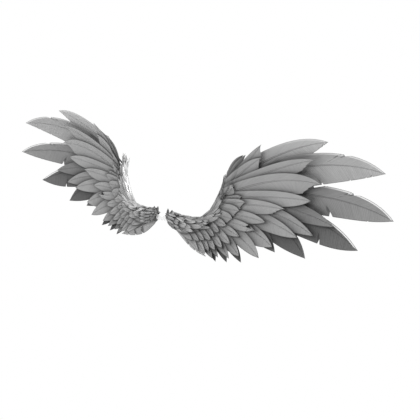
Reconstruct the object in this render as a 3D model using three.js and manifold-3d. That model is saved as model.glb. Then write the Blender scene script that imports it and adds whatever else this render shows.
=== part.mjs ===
// Feather costume wings: two stiff feathered wings held apart by one flat back bar.
// Millimetres, +Z up. The wearer faces -Y with the wings standing behind the shoulders.
// The origin is the middle of the bar's front face, and the wings mirror across X = 0.
// One wing is worked out on the +X side, which is the wearer's left.

import * as THREE from 'three';
import Module from 'manifold-3d';

const wasm = await Module();
wasm.setup();

// Driving dimensions
const GAP = 0.3;
const VANE_THICKNESS = 1.2;
const SHAFT_RIDGE = 0.25;
const QUILL_HALF_WIDTH = 3;
const TIP_HALF_WIDTH = 0.5;
const QUILL_IN_ARM = 4;
const DEEPEST_SEAT = 0.97;
const BEND_AT = 0.6;
const VANE_RISE = { from: 0.02, until: 0.32 };
const BAR = { reach: 38, thickness: 3, height: 14 };

// The feathers of a row lie like roof slates: each is this much further forward than the one above.
const SLATE_STEP = 2.4;

// All rows follow one shallow dish, deepest behind the middle of the hand and falling away around it.
const DISH = { depth: 61, x: 420, z: 150, inner: 520, outer: 270, below: 245, above: 220 };

// Rows curl forward with distance from this point, near the elbow.
const FAN_CENTRE = { x: 120, z: 40 };
const CURL_SPAN = 100;

// Chords are counted this far past the first and last feather of a row, and found by this many halvings.
const CHORDS_BEYOND = 2;
const HALVINGS = 24;

// Names the columns of a table of plain numbers.
function table(columns, rows) {
  return rows.map((row) => Object.fromEntries(columns.map((name, i) => [name, row[i]])));
}

// The padded arm, from the root between the shoulders to the end of the hand.
// A station is a row number here, with fractions in between.
const ARM = table(
  ['x', 'y', 'z', 'radius'],
  [
    [18, 3, 0, 16],
    [45, 4, 0, 20.5],
    [85, 6, 0, 20],
    [117, 12, 4, 17.5],
    [147, 25, 28, 15.5],
    [165, 33, 60, 14.5],
    [180, 41, 95, 13.5],
    [191, 44, 128, 11],
    [198, 46, 154, 7],
    [203, 46, 168, 3],
  ],
);

// Each feather has its station on the arm, its tip, how far its shaft bows up, the widths of the
// vanes above and below the shaft, and how bluntly each vane ends.
const FEATHER = ['station', 'tipX', 'tipZ', 'bow', 'up', 'down', 'upBlunt', 'downBlunt'];

const PRIMARIES = table(FEATHER, [
  [6.6, 450, 260, 17, 27, 33, 5, 4],
  [6.4, 591, 211, 28, 33, 42, 5, 5],
  [6.1, 621, 111, 17, 28, 49, 7, 5],
  [5.8, 547, 19, 21, 27, 55, 5, 6],
  [5.4, 420, -33, 28, 22, 50, 4, 5],
  [5.0, 338, -35, 18, 18, 30, 4, 5],
]);

const LOWER_PRIMARIES = table(FEATHER, [
  [3.7, 252, -77, 5, 16, 20, 4, 4],
  [3.2, 212, -84, 4, 14, 17, 4, 4],
  [2.7, 180, -88, 3, 12, 15, 4, 4],
]);

const SECONDARIES = table(FEATHER, [
  [5.9, 482, 60, 11, 23, 29, 4.5, 5],
  [5.4, 433, 27, 16, 19, 32, 4, 5],
  [4.85, 394, 14, 12, 18, 30, 4, 5],
  [4.35, 332, -21, 9, 18, 31, 4, 5],
  [3.9, 299, -55, 8, 18, 28, 4, 6],
  [3.5, 246, -61, 5, 16, 21, 4, 5],
]);

const LOWER_SECONDARIES = table(FEATHER, [
  [3.1, 219, -71, 4, 14, 15, 4, 4],
  [2.75, 187, -74, 3, 12, 14, 4, 4],
  [2.3, 172, -79, 2, 12, 13, 4, 5],
  [0.7, 152, -78, -3, 14, 12, 3, 4],
]);

const COVERTS = table(FEATHER, [
  [7.75, 238, 205, 2, 7, 7, 4, 5],
  [7.42, 240, 190, 1, 7.5, 8, 4, 5],
  [7.1, 285, 237, -2, 16, 22, 3.5, 8],
  [6.85, 284, 203, 2, 15, 27, 4, 6],
  [6.6, 421, 216, 3, 16, 26, 5, 7],
  [6.35, 434, 155, 13, 20, 38, 6, 7],
  [6.05, 414, 112, 4, 18, 27, 5, 6],
  [5.5, 354, 80, 1, 16, 25, 4, 5],
  [4.95, 305, 38, 2, 15, 20, 5, 4],
  [4.45, 281, 12, 1, 12, 17, 5, 5],
  [4.0, 239, -10, 2, 12, 16, 4, 4],
]);

const LOWER_COVERTS = table(FEATHER, [
  [3.55, 217, -32, 1, 13, 14, 4, 5],
  [3.25, 197, -46, 1, 12, 13, 4, 5],
  [2.95, 178, -55, 1, 11, 12, 4, 5],
  [2.5, 161, -60, 1, 11, 12, 4, 5],
  [2.0, 152, -69, 1, 11, 12, 4, 5],
  [1.5, 130, -66, 1, 12, 11, 4, 4],
]);

const UPPER_LESSERS = table(FEATHER, [
  [6.7, 217, 117, 0, 14, 15, 6, 7],
  [6.15, 232, 97, 0, 13, 14, 5, 6],
  [5.65, 245, 80, 0, 14, 15, 5, 6],
  [5.1, 231, 57, 0, 14, 15, 5, 6],
  [4.5, 215, 33, 0, 13, 14, 5, 6],
]);

const LOWER_LESSERS = table(FEATHER, [
  [4.05, 200, 14, 0, 12, 13, 5, 6],
  [3.7, 183, -6, 0, 11, 12, 5, 6],
  [3.35, 171, -19, 0, 10, 11, 5, 6],
  [2.95, 163, -30, 0, 10, 11, 5, 6],
  [2.5, 145, -34, 0, 10, 11, 5, 6],
  [1.95, 130, -38, 0, 10, 11, 5, 6],
  [1.35, 111, -39, 0, 10, 11, 5, 6],
]);

// Where along a feather its sections are, from quill to tip.
const LONG_STATIONS = [0, 0.1, 0.22, 0.38, 0.56, 0.74, 0.9, 1];
const MIDDLE_STATIONS = [0, 0.1, 0.22, 0.4, 0.64, 0.87, 1];
const SHORT_STATIONS = [0, 0.35, 0.75, 1];
const NARROW_FEATHER = 38;

// Depth of each row behind the dish, how far from the elbow it starts to curl forward, and how
// much it has curled one curl span after that.
const ROWS = {
  primary: { offset: 7, curlFrom: 350, curl: 5, stations: LONG_STATIONS },
  secondary: { offset: 0, curlFrom: 80, curl: 0.4, stations: MIDDLE_STATIONS },
  covert: { offset: -7, curlFrom: 80, curl: 0.5, stations: MIDDLE_STATIONS },
  lesser: { offset: -13.4, curlFrom: 80, curl: 0.5, stations: SHORT_STATIONS },
};

// Splits in the vanes: the feather, where along it the split opens, which vane (1 above, -1 below),
// how deep it cuts towards the shaft as a share of the vane, and how wide it opens.
const SPLIT = ['feather', 'along', 'vane', 'deep', 'wide'];
const PRIMARY_SPLITS = table(SPLIT, [
  [1, 0.74, 1, 0.5, 9],
  [2, 0.73, 1, 0.4, 8],
  [2, 0.625, -1, 0.42, 7],
  [3, 0.715, -1, 0.4, 7],
]);
const COVERT_SPLITS = table(SPLIT, [
  [9, 0.9, 1, 0.95, 5],
  [9, 0.84, -1, 0.7, 3],
]);
const SPLIT_SLANT = 1.2;
const SPLIT_PAST_EDGE = 6;
const SPLIT_CUT_DEPTH = 60;
const SHORT_STEP = 0.02;

// The ribbon that a strip of small feathers is sewn to: how far it goes under and over the arm's edge.
const RIBBON = { under: 3, over: 7, halfThickness: 1.6, pastEnds: 0.1 };

// Small leaf-shaped feathers that clothe the arm in rings, and the flared ones round its root.
// Rings are at stations, and turns are degrees round the arm from its front, away from the quills.
const ARM_LEAF = { length: 36, width: 20, thickness: 3.2, lift: 1.4, spacing: 1.2, turn: 66 };
const LEAF_RINGS = { from: 0.45, until: 7.6 };
const LEAF_TURNS = { from: 14, until: 150 };
const ROOT_LEAF = { length: 24, width: 14, thickness: 3, lift: 9, count: 5, station: 0.12 };
const LEAF_SINK = 0.4;
const LEAF_SIDES = 3;
const LEAF_LENGTH_KEPT = 0.4;
const ARM_SIDES = 8;
const ARM_RINGS = 12;

// Finishes
const FEATHER_GREY = new THREE.MeshStandardMaterial({ color: 0xa0a0a0, roughness: 0.55, metalness: 0 });
const FLIGHT_GREY = new THREE.MeshStandardMaterial({ color: 0x8a8a89, roughness: 0.55, metalness: 0 });
const ARM_GREY = new THREE.MeshStandardMaterial({ color: 0xa8a8a8, roughness: 0.35, metalness: 0 });
const BAR_WHITE = new THREE.MeshStandardMaterial({ color: 0xe4e4e4, roughness: 0.4, metalness: 0.2 });

const armCurve = new THREE.CatmullRomCurve3(ARM.map((row) => new THREE.Vector3(row.x, row.y, row.z)));
const radiusCurve = new THREE.CatmullRomCurve3(ARM.map((row) => new THREE.Vector3(row.radius, 0, 0)));

// The arm at a station: its centre, its radius, and the directions along it, forward and outward.
function armAt(station) {
  const place = station / (ARM.length - 1);
  const along = armCurve.getTangent(place);
  const forward = new THREE.Vector3(0, -1, 0);
  forward.addScaledVector(along, -forward.dot(along)).normalize();
  return {
    centre: armCurve.getPoint(place),
    radius: radiusCurve.getPoint(place).x,
    along,
    forward,
    outward: new THREE.Vector3(along.z, 0, -along.x).normalize(),
  };
}

function dishDepth(x, z) {
  const across = (x - DISH.x) / (x < DISH.x ? DISH.inner : DISH.outer);
  const upward = (z - DISH.z) / (z < DISH.z ? DISH.below : DISH.above);
  return DISH.depth * (1 - across ** 2 - upward ** 2);
}

// Depth of a row's own surface at a place on the wing.
function rowDepth(row, x, z) {
  const reach = Math.hypot(x - FAN_CENTRE.x, z - FAN_CENTRE.z);
  const past = Math.max(0, reach - row.curlFrom) / CURL_SPAN;
  return dishDepth(x, z) + row.offset - row.curl * past ** 2;
}

// The straight line from seat to tip of feather number n of a list, with fractions in between.
function chord(feathers, n) {
  const first = Math.min(Math.max(Math.floor(n), 0), feathers.length - 2);
  const share = n - first;
  const mix = (key) => feathers[first][key] + share * (feathers[first + 1][key] - feathers[first][key]);
  const arm = armAt(Math.min(Math.max(mix('station'), 0), ARM.length - 1));
  const seat = arm.centre.clone().addScaledVector(arm.outward, arm.radius);
  return { seatX: seat.x, seatZ: seat.z, tipX: mix('tipX'), tipZ: mix('tipZ') };
}

// The number of the chord that passes through a place, found by halving.
function chordNumber(feathers, x, z) {
  let low = -CHORDS_BEYOND;
  let high = feathers.length - 1 + CHORDS_BEYOND;
  for (let i = 0; i < HALVINGS; i += 1) {
    const middle = (low + high) / 2;
    const line = chord(feathers, middle);
    const [lineX, lineZ] = [line.tipX - line.seatX, line.tipZ - line.seatZ];
    const above = lineX * (z - line.seatZ) - lineZ * (x - line.seatX);
    if (above < 0) {
      low = middle;
    } else {
      high = middle;
    }
  }
  return (low + high) / 2;
}

// A closed solid through rings of equally many points, each ring running out along one face and
// back along the other.
function loft(rings) {
  const count = rings[0].length;
  const points = rings.flat();
  const faces = [];
  for (let r = 0; r + 1 < rings.length; r += 1) {
    for (let k = 0; k < count; k += 1) {
      const a = r * count + k;
      const b = r * count + ((k + 1) % count);
      faces.push(a, b, b + count, a, b + count, a + count);
    }
  }
  const last = (rings.length - 1) * count;
  for (let k = 0; k + 1 < count / 2; k += 1) {
    const across = count - 1 - k;
    faces.push(k, across - 1, k + 1, k, across, across - 1);
    faces.push(last + k, last + k + 1, last + across - 1, last + k, last + across - 1, last + across);
  }
  const geometry = new THREE.BufferGeometry().setFromPoints(points);
  geometry.setIndex(faces);
  return geometry;
}

function volumeOf(geometry) {
  const position = geometry.getAttribute('position');
  const index = geometry.getIndex();
  const [a, b, c] = [new THREE.Vector3(), new THREE.Vector3(), new THREE.Vector3()];
  let sum = 0;
  for (let i = 0; i < index.count; i += 3) {
    a.fromBufferAttribute(position, index.getX(i));
    b.fromBufferAttribute(position, index.getX(i + 1));
    c.fromBufferAttribute(position, index.getX(i + 2));
    sum += a.dot(b.cross(c)) / 6;
  }
  return sum;
}

// A solid for joining and cutting, with its faces turned outwards.
function solidOf(geometry) {
  const triVerts = Uint32Array.from(geometry.getIndex().array);
  if (volumeOf(geometry) < 0) {
    triVerts.reverse();
  }
  const vertProperties = Float32Array.from(geometry.getAttribute('position').array);
  const mesh = new wasm.Mesh({ numProp: 3, vertProperties, triVerts });
  mesh.merge();
  return new wasm.Manifold(mesh);
}

function geometryOf(solid) {
  const mesh = solid.getMesh();
  const geometry = new THREE.BufferGeometry();
  geometry.setAttribute('position', new THREE.BufferAttribute(mesh.vertProperties, mesh.numProp));
  geometry.setIndex(new THREE.BufferAttribute(mesh.triVerts, 1));
  geometry.computeVertexNormals();
  return geometry;
}

function largestPiece(solid) {
  return solid.decompose().reduce((best, piece) => (piece.volume() > best.volume() ? piece : best));
}

// The arm's round body, grown by a clearance where a quill is cut to fit it.
function armTube(grow) {
  const rings = [];
  for (let i = 0; i <= ARM_RINGS; i += 1) {
    const arm = armAt((i / ARM_RINGS) * (ARM.length - 1));
    const side = new THREE.Vector3().crossVectors(arm.along, arm.forward);
    const ring = [];
    for (let k = 0; k < ARM_SIDES; k += 1) {
      const turn = ((k + 0.5) / ARM_SIDES) * 2 * Math.PI;
      const point = arm.centre.clone();
      point.addScaledVector(arm.forward, (arm.radius + grow) * Math.cos(turn));
      point.addScaledVector(side, (arm.radius + grow) * Math.sin(turn));
      ring.push(point);
    }
    rings.push(ring);
  }
  return solidOf(loft(rings));
}

const quillCutter = armTube(GAP);

// One pointed leaf lying on the arm with its tip lifted off and pointing away from the root.
function armLeaf(station, turn, size) {
  const arm = armAt(station);
  const side = new THREE.Vector3().crossVectors(arm.along, arm.forward);
  const off = arm.forward.clone().multiplyScalar(Math.cos(turn)).addScaledVector(side, Math.sin(turn));
  const direction = arm.along.clone().multiplyScalar(size.length).addScaledVector(off, size.lift);
  direction.normalize();
  const across = new THREE.Vector3().crossVectors(direction, off).normalize();
  const thick = new THREE.Vector3().crossVectors(across, direction);
  const leaf = new THREE.ConeGeometry(1 / Math.sqrt(LEAF_SIDES), 1, LEAF_SIDES);
  leaf.deleteAttribute('normal').deleteAttribute('uv');
  const place = new THREE.Matrix4().makeBasis(
    across.multiplyScalar(size.width),
    direction.clone().multiplyScalar(size.length),
    thick.multiplyScalar(size.thickness),
  );
  const middle = arm.centre.clone().addScaledVector(off, arm.radius - LEAF_SINK);
  middle.addScaledVector(direction, size.length / 2);
  place.setPosition(middle);
  return solidOf(leaf.applyMatrix4(place));
}

// Leaves clothe the arm in staggered rings, clear of the quills, and flare out round its root.
function armBody() {
  let body = armTube(0);
  let odd = 0;
  for (let station = LEAF_RINGS.from; station < LEAF_RINGS.until; station += ARM_LEAF.spacing) {
    const shrink = armAt(station).radius / ARM[1].radius;
    const length = ARM_LEAF.length * THREE.MathUtils.lerp(LEAF_LENGTH_KEPT, 1, shrink);
    const size = { ...ARM_LEAF, width: ARM_LEAF.width * shrink, length };
    const first = LEAF_TURNS.from + odd * (ARM_LEAF.turn / 2);
    for (let turn = first; turn <= LEAF_TURNS.until; turn += ARM_LEAF.turn) {
      body = body.add(armLeaf(station, THREE.MathUtils.degToRad(-turn), size));
    }
    odd = 1 - odd;
  }
  for (let i = 0; i < ROOT_LEAF.count; i += 1) {
    const turn = ((i + 0.5) / ROOT_LEAF.count) * 2 * Math.PI;
    body = body.add(armLeaf(ROOT_LEAF.station, turn, ROOT_LEAF));
  }
  const [reach, thickness, height] = [BAR.reach + GAP, BAR.thickness + 2 * GAP, BAR.height + 2 * GAP];
  const pocket = new THREE.BoxGeometry(2 * reach, thickness, height);
  pocket.deleteAttribute('normal').deleteAttribute('uv').translate(0, BAR.thickness / 2, 0);
  return largestPiece(body.subtract(solidOf(pocket)));
}

// Half width of one vane along the feather: a bare quill, a quick rise, then a pointed or blunt end.
function vaneWidth(full, blunt, along) {
  const rise = THREE.MathUtils.smoothstep(along, VANE_RISE.from, VANE_RISE.until);
  const body = full * rise * (1 - along ** blunt);
  const quill = QUILL_HALF_WIDTH * (1 - along ** 3);
  return Math.max(body, quill, TIP_HALF_WIDTH);
}

// How far out from the arm's centre its round side is, at a depth.
function edgeOfArm(arm, depth) {
  const offCentre = Math.min(Math.abs(depth - arm.centre.y), arm.radius * DEEPEST_SEAT);
  return Math.sqrt(arm.radius ** 2 - offCentre ** 2);
}

// A feather's middle surface: along runs from quill (0) to tip (1), across from the lower edge (-1)
// over the shaft (0) to the upper edge (1).
function featherSurface(row, feathers, number) {
  const feather = feathers[number];
  const arm = armAt(feather.station);
  const depthHere = rowDepth(row, arm.centre.x + arm.radius * arm.outward.x, arm.centre.z);
  const seat = arm.centre.clone().addScaledVector(arm.outward, edgeOfArm(arm, depthHere) - QUILL_IN_ARM);
  const start = new THREE.Vector2(seat.x, seat.z);
  const tip = new THREE.Vector2(feather.tipX, feather.tipZ);
  const line = tip.clone().sub(start);
  const upward = new THREE.Vector2(-line.y, line.x).normalize();
  const bend = start.clone().addScaledVector(line, BEND_AT).addScaledVector(upward, 2 * feather.bow);
  const shaft = new THREE.QuadraticBezierCurve(start, bend, tip);
  return (along, across) => {
    const centre = shaft.getPoint(along);
    const heading = shaft.getTangent(along);
    const full = across > 0 ? feather.up : feather.down;
    const blunt = across > 0 ? feather.upBlunt : feather.downBlunt;
    const off = across * vaneWidth(full, blunt, along);
    const x = centre.x - heading.y * off;
    const z = centre.y + heading.x * off;
    const slate = SLATE_STEP * (number - chordNumber(feathers, x, z));
    return new THREE.Vector3(x, rowDepth(row, x, z) - slate, z);
  };
}

function featherSolid(row, feathers, number) {
  const surface = featherSurface(row, feathers, number);
  const width = feathers[number].up + feathers[number].down;
  const wide = width < NARROW_FEATHER ? [1, 0, -1] : [1, 0.5, 0, -0.5, -1];
  const places = row.stations === SHORT_STATIONS ? [1, -1] : wide;
  const rings = row.stations.map((along) => {
    const front = [];
    const back = [];
    places.forEach((across) => {
      const point = surface(along, across);
      const ridge = across === 0 ? SHAFT_RIDGE : 0;
      front.push(point.clone().setY(point.y - VANE_THICKNESS / 2 - ridge));
      back.unshift(point.clone().setY(point.y + VANE_THICKNESS / 2 + ridge));
    });
    return [...front, ...back];
  });
  return largestPiece(solidOf(loft(rings)).subtract(quillCutter));
}

// A wedge that opens a vane from its edge towards the shaft, slanting back along the barbs.
function splitWedge(row, feathers, split) {
  const surface = featherSurface(row, feathers, split.feather);
  const edge = surface(split.along, split.vane);
  const shaft = surface(split.along, 0);
  const inward = new THREE.Vector2(shaft.x - edge.x, shaft.z - edge.z);
  const depth = inward.length() * split.deep;
  inward.normalize();
  const heading = surface(split.along + SHORT_STEP, 0).sub(shaft);
  const along = new THREE.Vector2(heading.x, heading.z).normalize();
  const slant = along.clone().multiplyScalar(-SPLIT_SLANT * depth);
  const mouth = new THREE.Vector2(edge.x, edge.z).addScaledVector(inward, -SPLIT_PAST_EDGE);
  mouth.addScaledVector(along, SPLIT_SLANT * SPLIT_PAST_EDGE);
  const apex = new THREE.Vector2(edge.x, edge.z).addScaledVector(inward, depth).add(slant);
  const corner = (side) => mouth.clone().addScaledVector(along, (side * split.wide) / 2);
  const shape = new THREE.Shape([apex, corner(-1), corner(1)]);
  const wedge = new THREE.ExtrudeGeometry(shape, { depth: SPLIT_CUT_DEPTH, bevelEnabled: false });
  wedge.deleteAttribute('normal').deleteAttribute('uv').rotateX(Math.PI / 2);
  wedge.translate(0, edge.y + SPLIT_CUT_DEPTH / 2, 0);
  const corners = wedge.getAttribute('position').count;
  wedge.setIndex(Array.from({ length: corners }, (_, i) => i));
  return solidOf(wedge);
}

// A ribbon under the quills of a strip of small feathers, along the arm.
function stripRibbon(row, feathers) {
  const rings = [];
  const stations = feathers.map((feather) => feather.station);
  const high = Math.max(...stations) + RIBBON.pastEnds;
  const low = Math.min(...stations) - RIBBON.pastEnds;
  const pieces = Math.ceil(feathers.length / 2);
  for (let i = 0; i <= pieces; i += 1) {
    const arm = armAt(low + ((high - low) * i) / pieces);
    const rim = arm.centre.clone().addScaledVector(arm.outward, arm.radius);
    const edge = edgeOfArm(arm, rowDepth(row, rim.x, rim.z));
    const corner = (out, back) => {
      const point = arm.centre.clone().addScaledVector(arm.outward, edge + out);
      return point.setY(rowDepth(row, point.x, point.z) + back * RIBBON.halfThickness);
    };
    const [under, over] = [-RIBBON.under, RIBBON.over];
    rings.push([corner(under, -1), corner(over, -1), corner(over, 1), corner(under, 1)]);
  }
  return solidOf(loft(rings));
}

function stripSolid(row, feathers) {
  let strip = stripRibbon(row, feathers);
  feathers.forEach((_, number) => {
    strip = strip.add(featherSolid(row, feathers, number));
  });
  return largestPiece(strip.subtract(quillCutter));
}

// A row's feathers one by one, with their splits cut in.
function rowSolids(row, feathers, splits) {
  return feathers.map((_, number) => {
    let solid = featherSolid(row, feathers, number);
    splits.filter((split) => split.feather === number).forEach((split) => {
      solid = solid.subtract(splitWedge(row, feathers, split));
    });
    return largestPiece(solid);
  });
}

// The named solids of one wing, with their finishes.
function wingPieces() {
  const pieces = [{ name: 'arm', solid: armBody(), finish: ARM_GREY }];
  const rows = [
    ['primary', ROWS.primary, PRIMARIES, PRIMARY_SPLITS, FLIGHT_GREY],
    ['secondary', ROWS.secondary, SECONDARIES, [], FEATHER_GREY],
    ['covert', ROWS.covert, COVERTS, COVERT_SPLITS, FEATHER_GREY],
  ];
  rows.forEach(([name, row, feathers, splits, finish]) => {
    rowSolids(row, feathers, splits).forEach((solid, number) => {
      pieces.push({ name: `${name}_${number + 1}`, solid, finish });
    });
  });
  const strips = [
    ['lower_primary_strip', ROWS.primary, LOWER_PRIMARIES, FLIGHT_GREY],
    ['lower_secondary_strip', ROWS.secondary, LOWER_SECONDARIES, FEATHER_GREY],
    ['lower_covert_strip', ROWS.covert, LOWER_COVERTS, FEATHER_GREY],
    ['upper_lesser_strip', ROWS.lesser, UPPER_LESSERS, FEATHER_GREY],
    ['lower_lesser_strip', ROWS.lesser, LOWER_LESSERS, FEATHER_GREY],
  ];
  strips.forEach(([name, row, feathers, finish]) => {
    pieces.push({ name, solid: stripSolid({ ...row, stations: SHORT_STATIONS }, feathers), finish });
  });
  return pieces.map(({ name, solid, finish }) => ({ name, geometry: geometryOf(solid), finish }));
}

function wing(side, pieces) {
  const group = new THREE.Group();
  pieces.forEach(({ name, geometry, finish }) => {
    const mesh = new THREE.Mesh(geometry, finish);
    mesh.name = `${side}_${name}`;
    group.add(mesh);
  });
  return group;
}

function backBar() {
  const mesh = new THREE.Mesh(new THREE.BoxGeometry(2 * BAR.reach, BAR.thickness, BAR.height), BAR_WHITE);
  mesh.name = 'back_bar';
  mesh.position.y = BAR.thickness / 2;
  return mesh;
}

const pieces = wingPieces();
const rightWing = wing('right', pieces);
rightWing.scale.x = -1;

const wings = new THREE.Group();
wings.add(wing('left', pieces), rightWing, backBar());

export default wings;
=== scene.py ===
# %% [markdown]
# # Feather costume wings
# Two stiff feathered wings stand behind the wearer's shoulders, and one flat bar joins their roots.
# Each wing is a padded arm clothed in small leaf-shaped feathers. Long flight feathers fan out from it,
# and shorter rows lie in front of them like slates on a roof.
# The lesson goes from the loaded solids to the finished feathers, row by row, and ends with the light.

# %% Load the solids and remember their box
import math
from functools import partial

import bmesh
import bpy
import numpy as np
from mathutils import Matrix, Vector, kdtree


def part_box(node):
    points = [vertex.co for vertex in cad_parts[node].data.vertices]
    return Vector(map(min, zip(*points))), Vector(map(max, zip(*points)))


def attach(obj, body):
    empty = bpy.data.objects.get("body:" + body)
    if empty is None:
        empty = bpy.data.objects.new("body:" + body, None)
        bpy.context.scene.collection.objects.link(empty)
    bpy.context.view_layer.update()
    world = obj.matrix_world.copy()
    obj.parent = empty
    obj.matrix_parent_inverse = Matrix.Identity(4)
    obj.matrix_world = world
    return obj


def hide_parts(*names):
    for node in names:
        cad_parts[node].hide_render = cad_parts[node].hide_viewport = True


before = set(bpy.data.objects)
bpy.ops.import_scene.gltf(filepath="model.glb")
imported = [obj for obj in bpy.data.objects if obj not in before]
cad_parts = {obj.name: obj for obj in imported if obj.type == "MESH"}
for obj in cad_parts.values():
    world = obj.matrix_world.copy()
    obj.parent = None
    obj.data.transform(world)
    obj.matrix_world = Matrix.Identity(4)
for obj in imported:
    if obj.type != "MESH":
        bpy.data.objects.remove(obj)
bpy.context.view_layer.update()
MM = 0.001

# %% [markdown]
# ## The camera
# The picture looks down on the wings from the wearer's left front. Because the two wings mirror each
# other, one picture shows one wing from two sides, and that fixes where the camera stood.
# The camera is made first, so that every later piece can be judged in the right frame.

# %% Place the camera
CAMERA_PLACE = Vector((0.8485, -1.0553, 0.4974))
CAMERA_LOOKS = Vector((-0.5152, 0.7905, -0.3313))
CAMERA_LENS = 43.46
CAMERA_REACH = 100


def place_camera():
    camera = bpy.data.objects.new("camera", bpy.data.cameras.new("camera"))
    bpy.context.scene.collection.objects.link(camera)
    camera.location = CAMERA_PLACE
    camera.rotation_euler = CAMERA_LOOKS.to_track_quat("-Z", "Y").to_euler()
    camera.data.lens = CAMERA_LENS
    camera.data.clip_end = CAMERA_REACH
    bpy.context.scene.camera = camera
    return camera


camera = place_camera()
print("camera at", tuple(camera.location))

# %% [markdown]
# ## The arm's path
# Everything hangs on the arm: a padded rod that runs out from the root, turns up at the elbow and ends
# at the hand. A short table gives its centre and radius, in millimetres. A smooth curve runs through
# the rows, and a station is a row number with fractions in between, so a feather can say where it sits.

# %% Describe the arm
ARM = np.array([
    # x, y, z, radius
    [18, 3, 0, 16],
    [45, 4, 0, 20.5],
    [85, 6, 0, 20],
    [117, 12, 4, 17.5],
    [147, 25, 28, 15.5],
    [165, 33, 60, 14.5],
    [180, 41, 95, 13.5],
    [191, 44, 128, 11],
    [198, 46, 154, 7],
    [203, 46, 168, 3],
])
LAST_STATION = len(ARM) - 1
SMALL_STEP = 0.001


def smooth_curve(rows, station):
    """A point on the smooth curve through the rows, paced by the square root of their distances."""
    first = min(max(int(station), 0), len(rows) - 2)
    share = station - first
    start, end = rows[first], rows[first + 1]
    before = rows[first - 1] if first else 2 * start - end
    after = rows[first + 2] if first + 2 < len(rows) else 2 * end - start
    pace = [np.sqrt(np.linalg.norm(b - a)) for a, b in ((before, start), (start, end), (end, after))]
    lead = (start - before) / pace[0] - (end - before) / (pace[0] + pace[1]) + (end - start) / pace[1]
    trail = (end - start) / pace[1] - (after - start) / (pace[1] + pace[2]) + (after - end) / pace[2]
    lead, trail = lead * pace[1], trail * pace[1]
    square = -3 * start + 3 * end - 2 * lead - trail
    cube = 2 * start - 2 * end + lead + trail
    return start + share * (lead + share * (square + share * cube))


def arm_at(station):
    """Centre, radius and outward direction of the arm at a station."""
    centre = smooth_curve(ARM[:, :3], station)
    radius = smooth_curve(ARM[:, 3:], station)[0]
    low = max(station - SMALL_STEP, 0)
    high = min(station + SMALL_STEP, LAST_STATION)
    along = smooth_curve(ARM[:, :3], high) - smooth_curve(ARM[:, :3], low)
    along /= np.linalg.norm(along)
    outward = np.array([along[2], 0, -along[0]])
    return {"centre": centre, "radius": radius, "outward": outward / np.linalg.norm(outward)}


print("elbow:", arm_at(3)["centre"].round(1), "hand:", arm_at(LAST_STATION)["centre"].round(1))

# %% [markdown]
# ## The rows of feathers
# Each feather has a station on the arm, the place of its tip, the upward bow of its shaft, the widths of
# the vanes above and below the shaft, and how bluntly each vane ends. The last column is its tone:
# the long feathers low on the wing are much darker than the rest.
# Splits are places where the barbs have come apart: where along the feather, on which vane (1 above,
# -1 below), how deep as a share of the vane, and how wide at the mouth. Ends are vanes that stop in a
# slanting, ragged edge: how much of the length the edge loses, and how deep its teeth are.

# %% Describe the feathers
FEATHER = ("station", "tip_x", "tip_z", "bow", "up", "down", "up_blunt", "down_blunt", "tone")
SPLIT = ("feather", "along", "vane", "deep", "wide")
END = ("feather", "vane", "cut", "teeth")

PRIMARIES = np.array([
    [6.6, 450, 260, 17, 24.5, 42, 5, 3.5, 1.42],
    [6.4, 591, 211, 28, 32, 54, 6, 4, 1.16],
    [6.1, 621, 111, 17, 28, 49, 8, 5, 0.77],
    [5.8, 547, 19, 21, 22, 55, 4, 6, 0.38],
    [5.4, 420, -33, 28, 22, 50, 4, 5, 0.3],
    [5.0, 338, -35, 18, 18, 38, 4, 5, 0.4],
])
LOWER_PRIMARIES = np.array([
    [3.7, 252, -77, 5, 16, 20, 4, 4, 0.3],
    [3.2, 212, -84, 4, 14, 17, 4, 4, 0.3],
    [2.7, 180, -88, 3, 12, 15, 4, 4, 0.3],
])
SECONDARIES = np.array([
    [5.9, 482, 60, 11, 23, 29, 4.5, 5, 0.6],
    [5.4, 433, 27, 16, 19, 32, 4, 5, 0.92],
    [4.85, 394, 14, 12, 18, 30, 4, 5, 1.0],
    [4.35, 332, -21, 9, 18, 36, 4, 5, 0.98],
    [3.9, 301, -54, 8, 22, 22, 4, 5, 1.0],
    [3.5, 246, -61, 5, 16, 21, 4, 5, 0.95],
])
LOWER_SECONDARIES = np.array([
    [3.1, 219, -71, 4, 14, 15, 4, 4, 0.95],
    [2.75, 187, -74, 3, 12, 14, 4, 4, 0.95],
    [2.3, 172, -79, 2, 12, 13, 4, 5, 0.97],
    # The root feather's higher tone is painted light, as it tilts down away from the lamps.
    [0.25, 152, -78, -3, 14, 24, 3, 4, 1.2],
])
COVERTS = np.array([
    [6.75, 234, 204, 11, 7, 8, 3, 4, 0.97],
    # The second covert's lower tone is painted shade for its shadowed tip.
    [6.7, 240, 205, 6, 8, 10, 3, 4, 0.8],
    [6.65, 285, 237, 0, 12, 22, 3.5, 8, 0.98],
    [6.6, 284, 203, 4, 15, 27, 4, 6, 0.98],
    [6.35, 424, 216, 8, 16, 26, 5, 7, 1.0],
    [5.9, 442, 157, 21, 20, 38, 6, 8, 0.98],
    [5.6, 419, 113, 6, 18, 26, 5, 6, 1.0],
    [5.2, 354, 80, 4, 16, 25, 4, 5, 0.98],
    [4.5, 305, 38, 4, 15, 20, 5, 4, 0.98],
    [4.05, 281, 12, 3, 12, 17, 5, 5, 1.0],
    [3.75, 239, -10, 2, 12, 16, 4, 4, 1.0],
])
LOWER_COVERTS = np.array([
    [3.55, 217, -32, 1, 13, 14, 4, 5, 1.07],
    [3.25, 197, -46, 1, 12, 13, 4, 5, 1.07],
    [2.95, 178, -55, 1, 11, 12, 4, 5, 1.07],
    [2.5, 161, -60, 1, 11, 12, 4, 5, 1.07],
    [2.0, 152, -69, 1, 11, 12, 4, 5, 1.09],
    [1.5, 130, -66, 1, 12, 11, 4, 4, 1.12],
])
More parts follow.
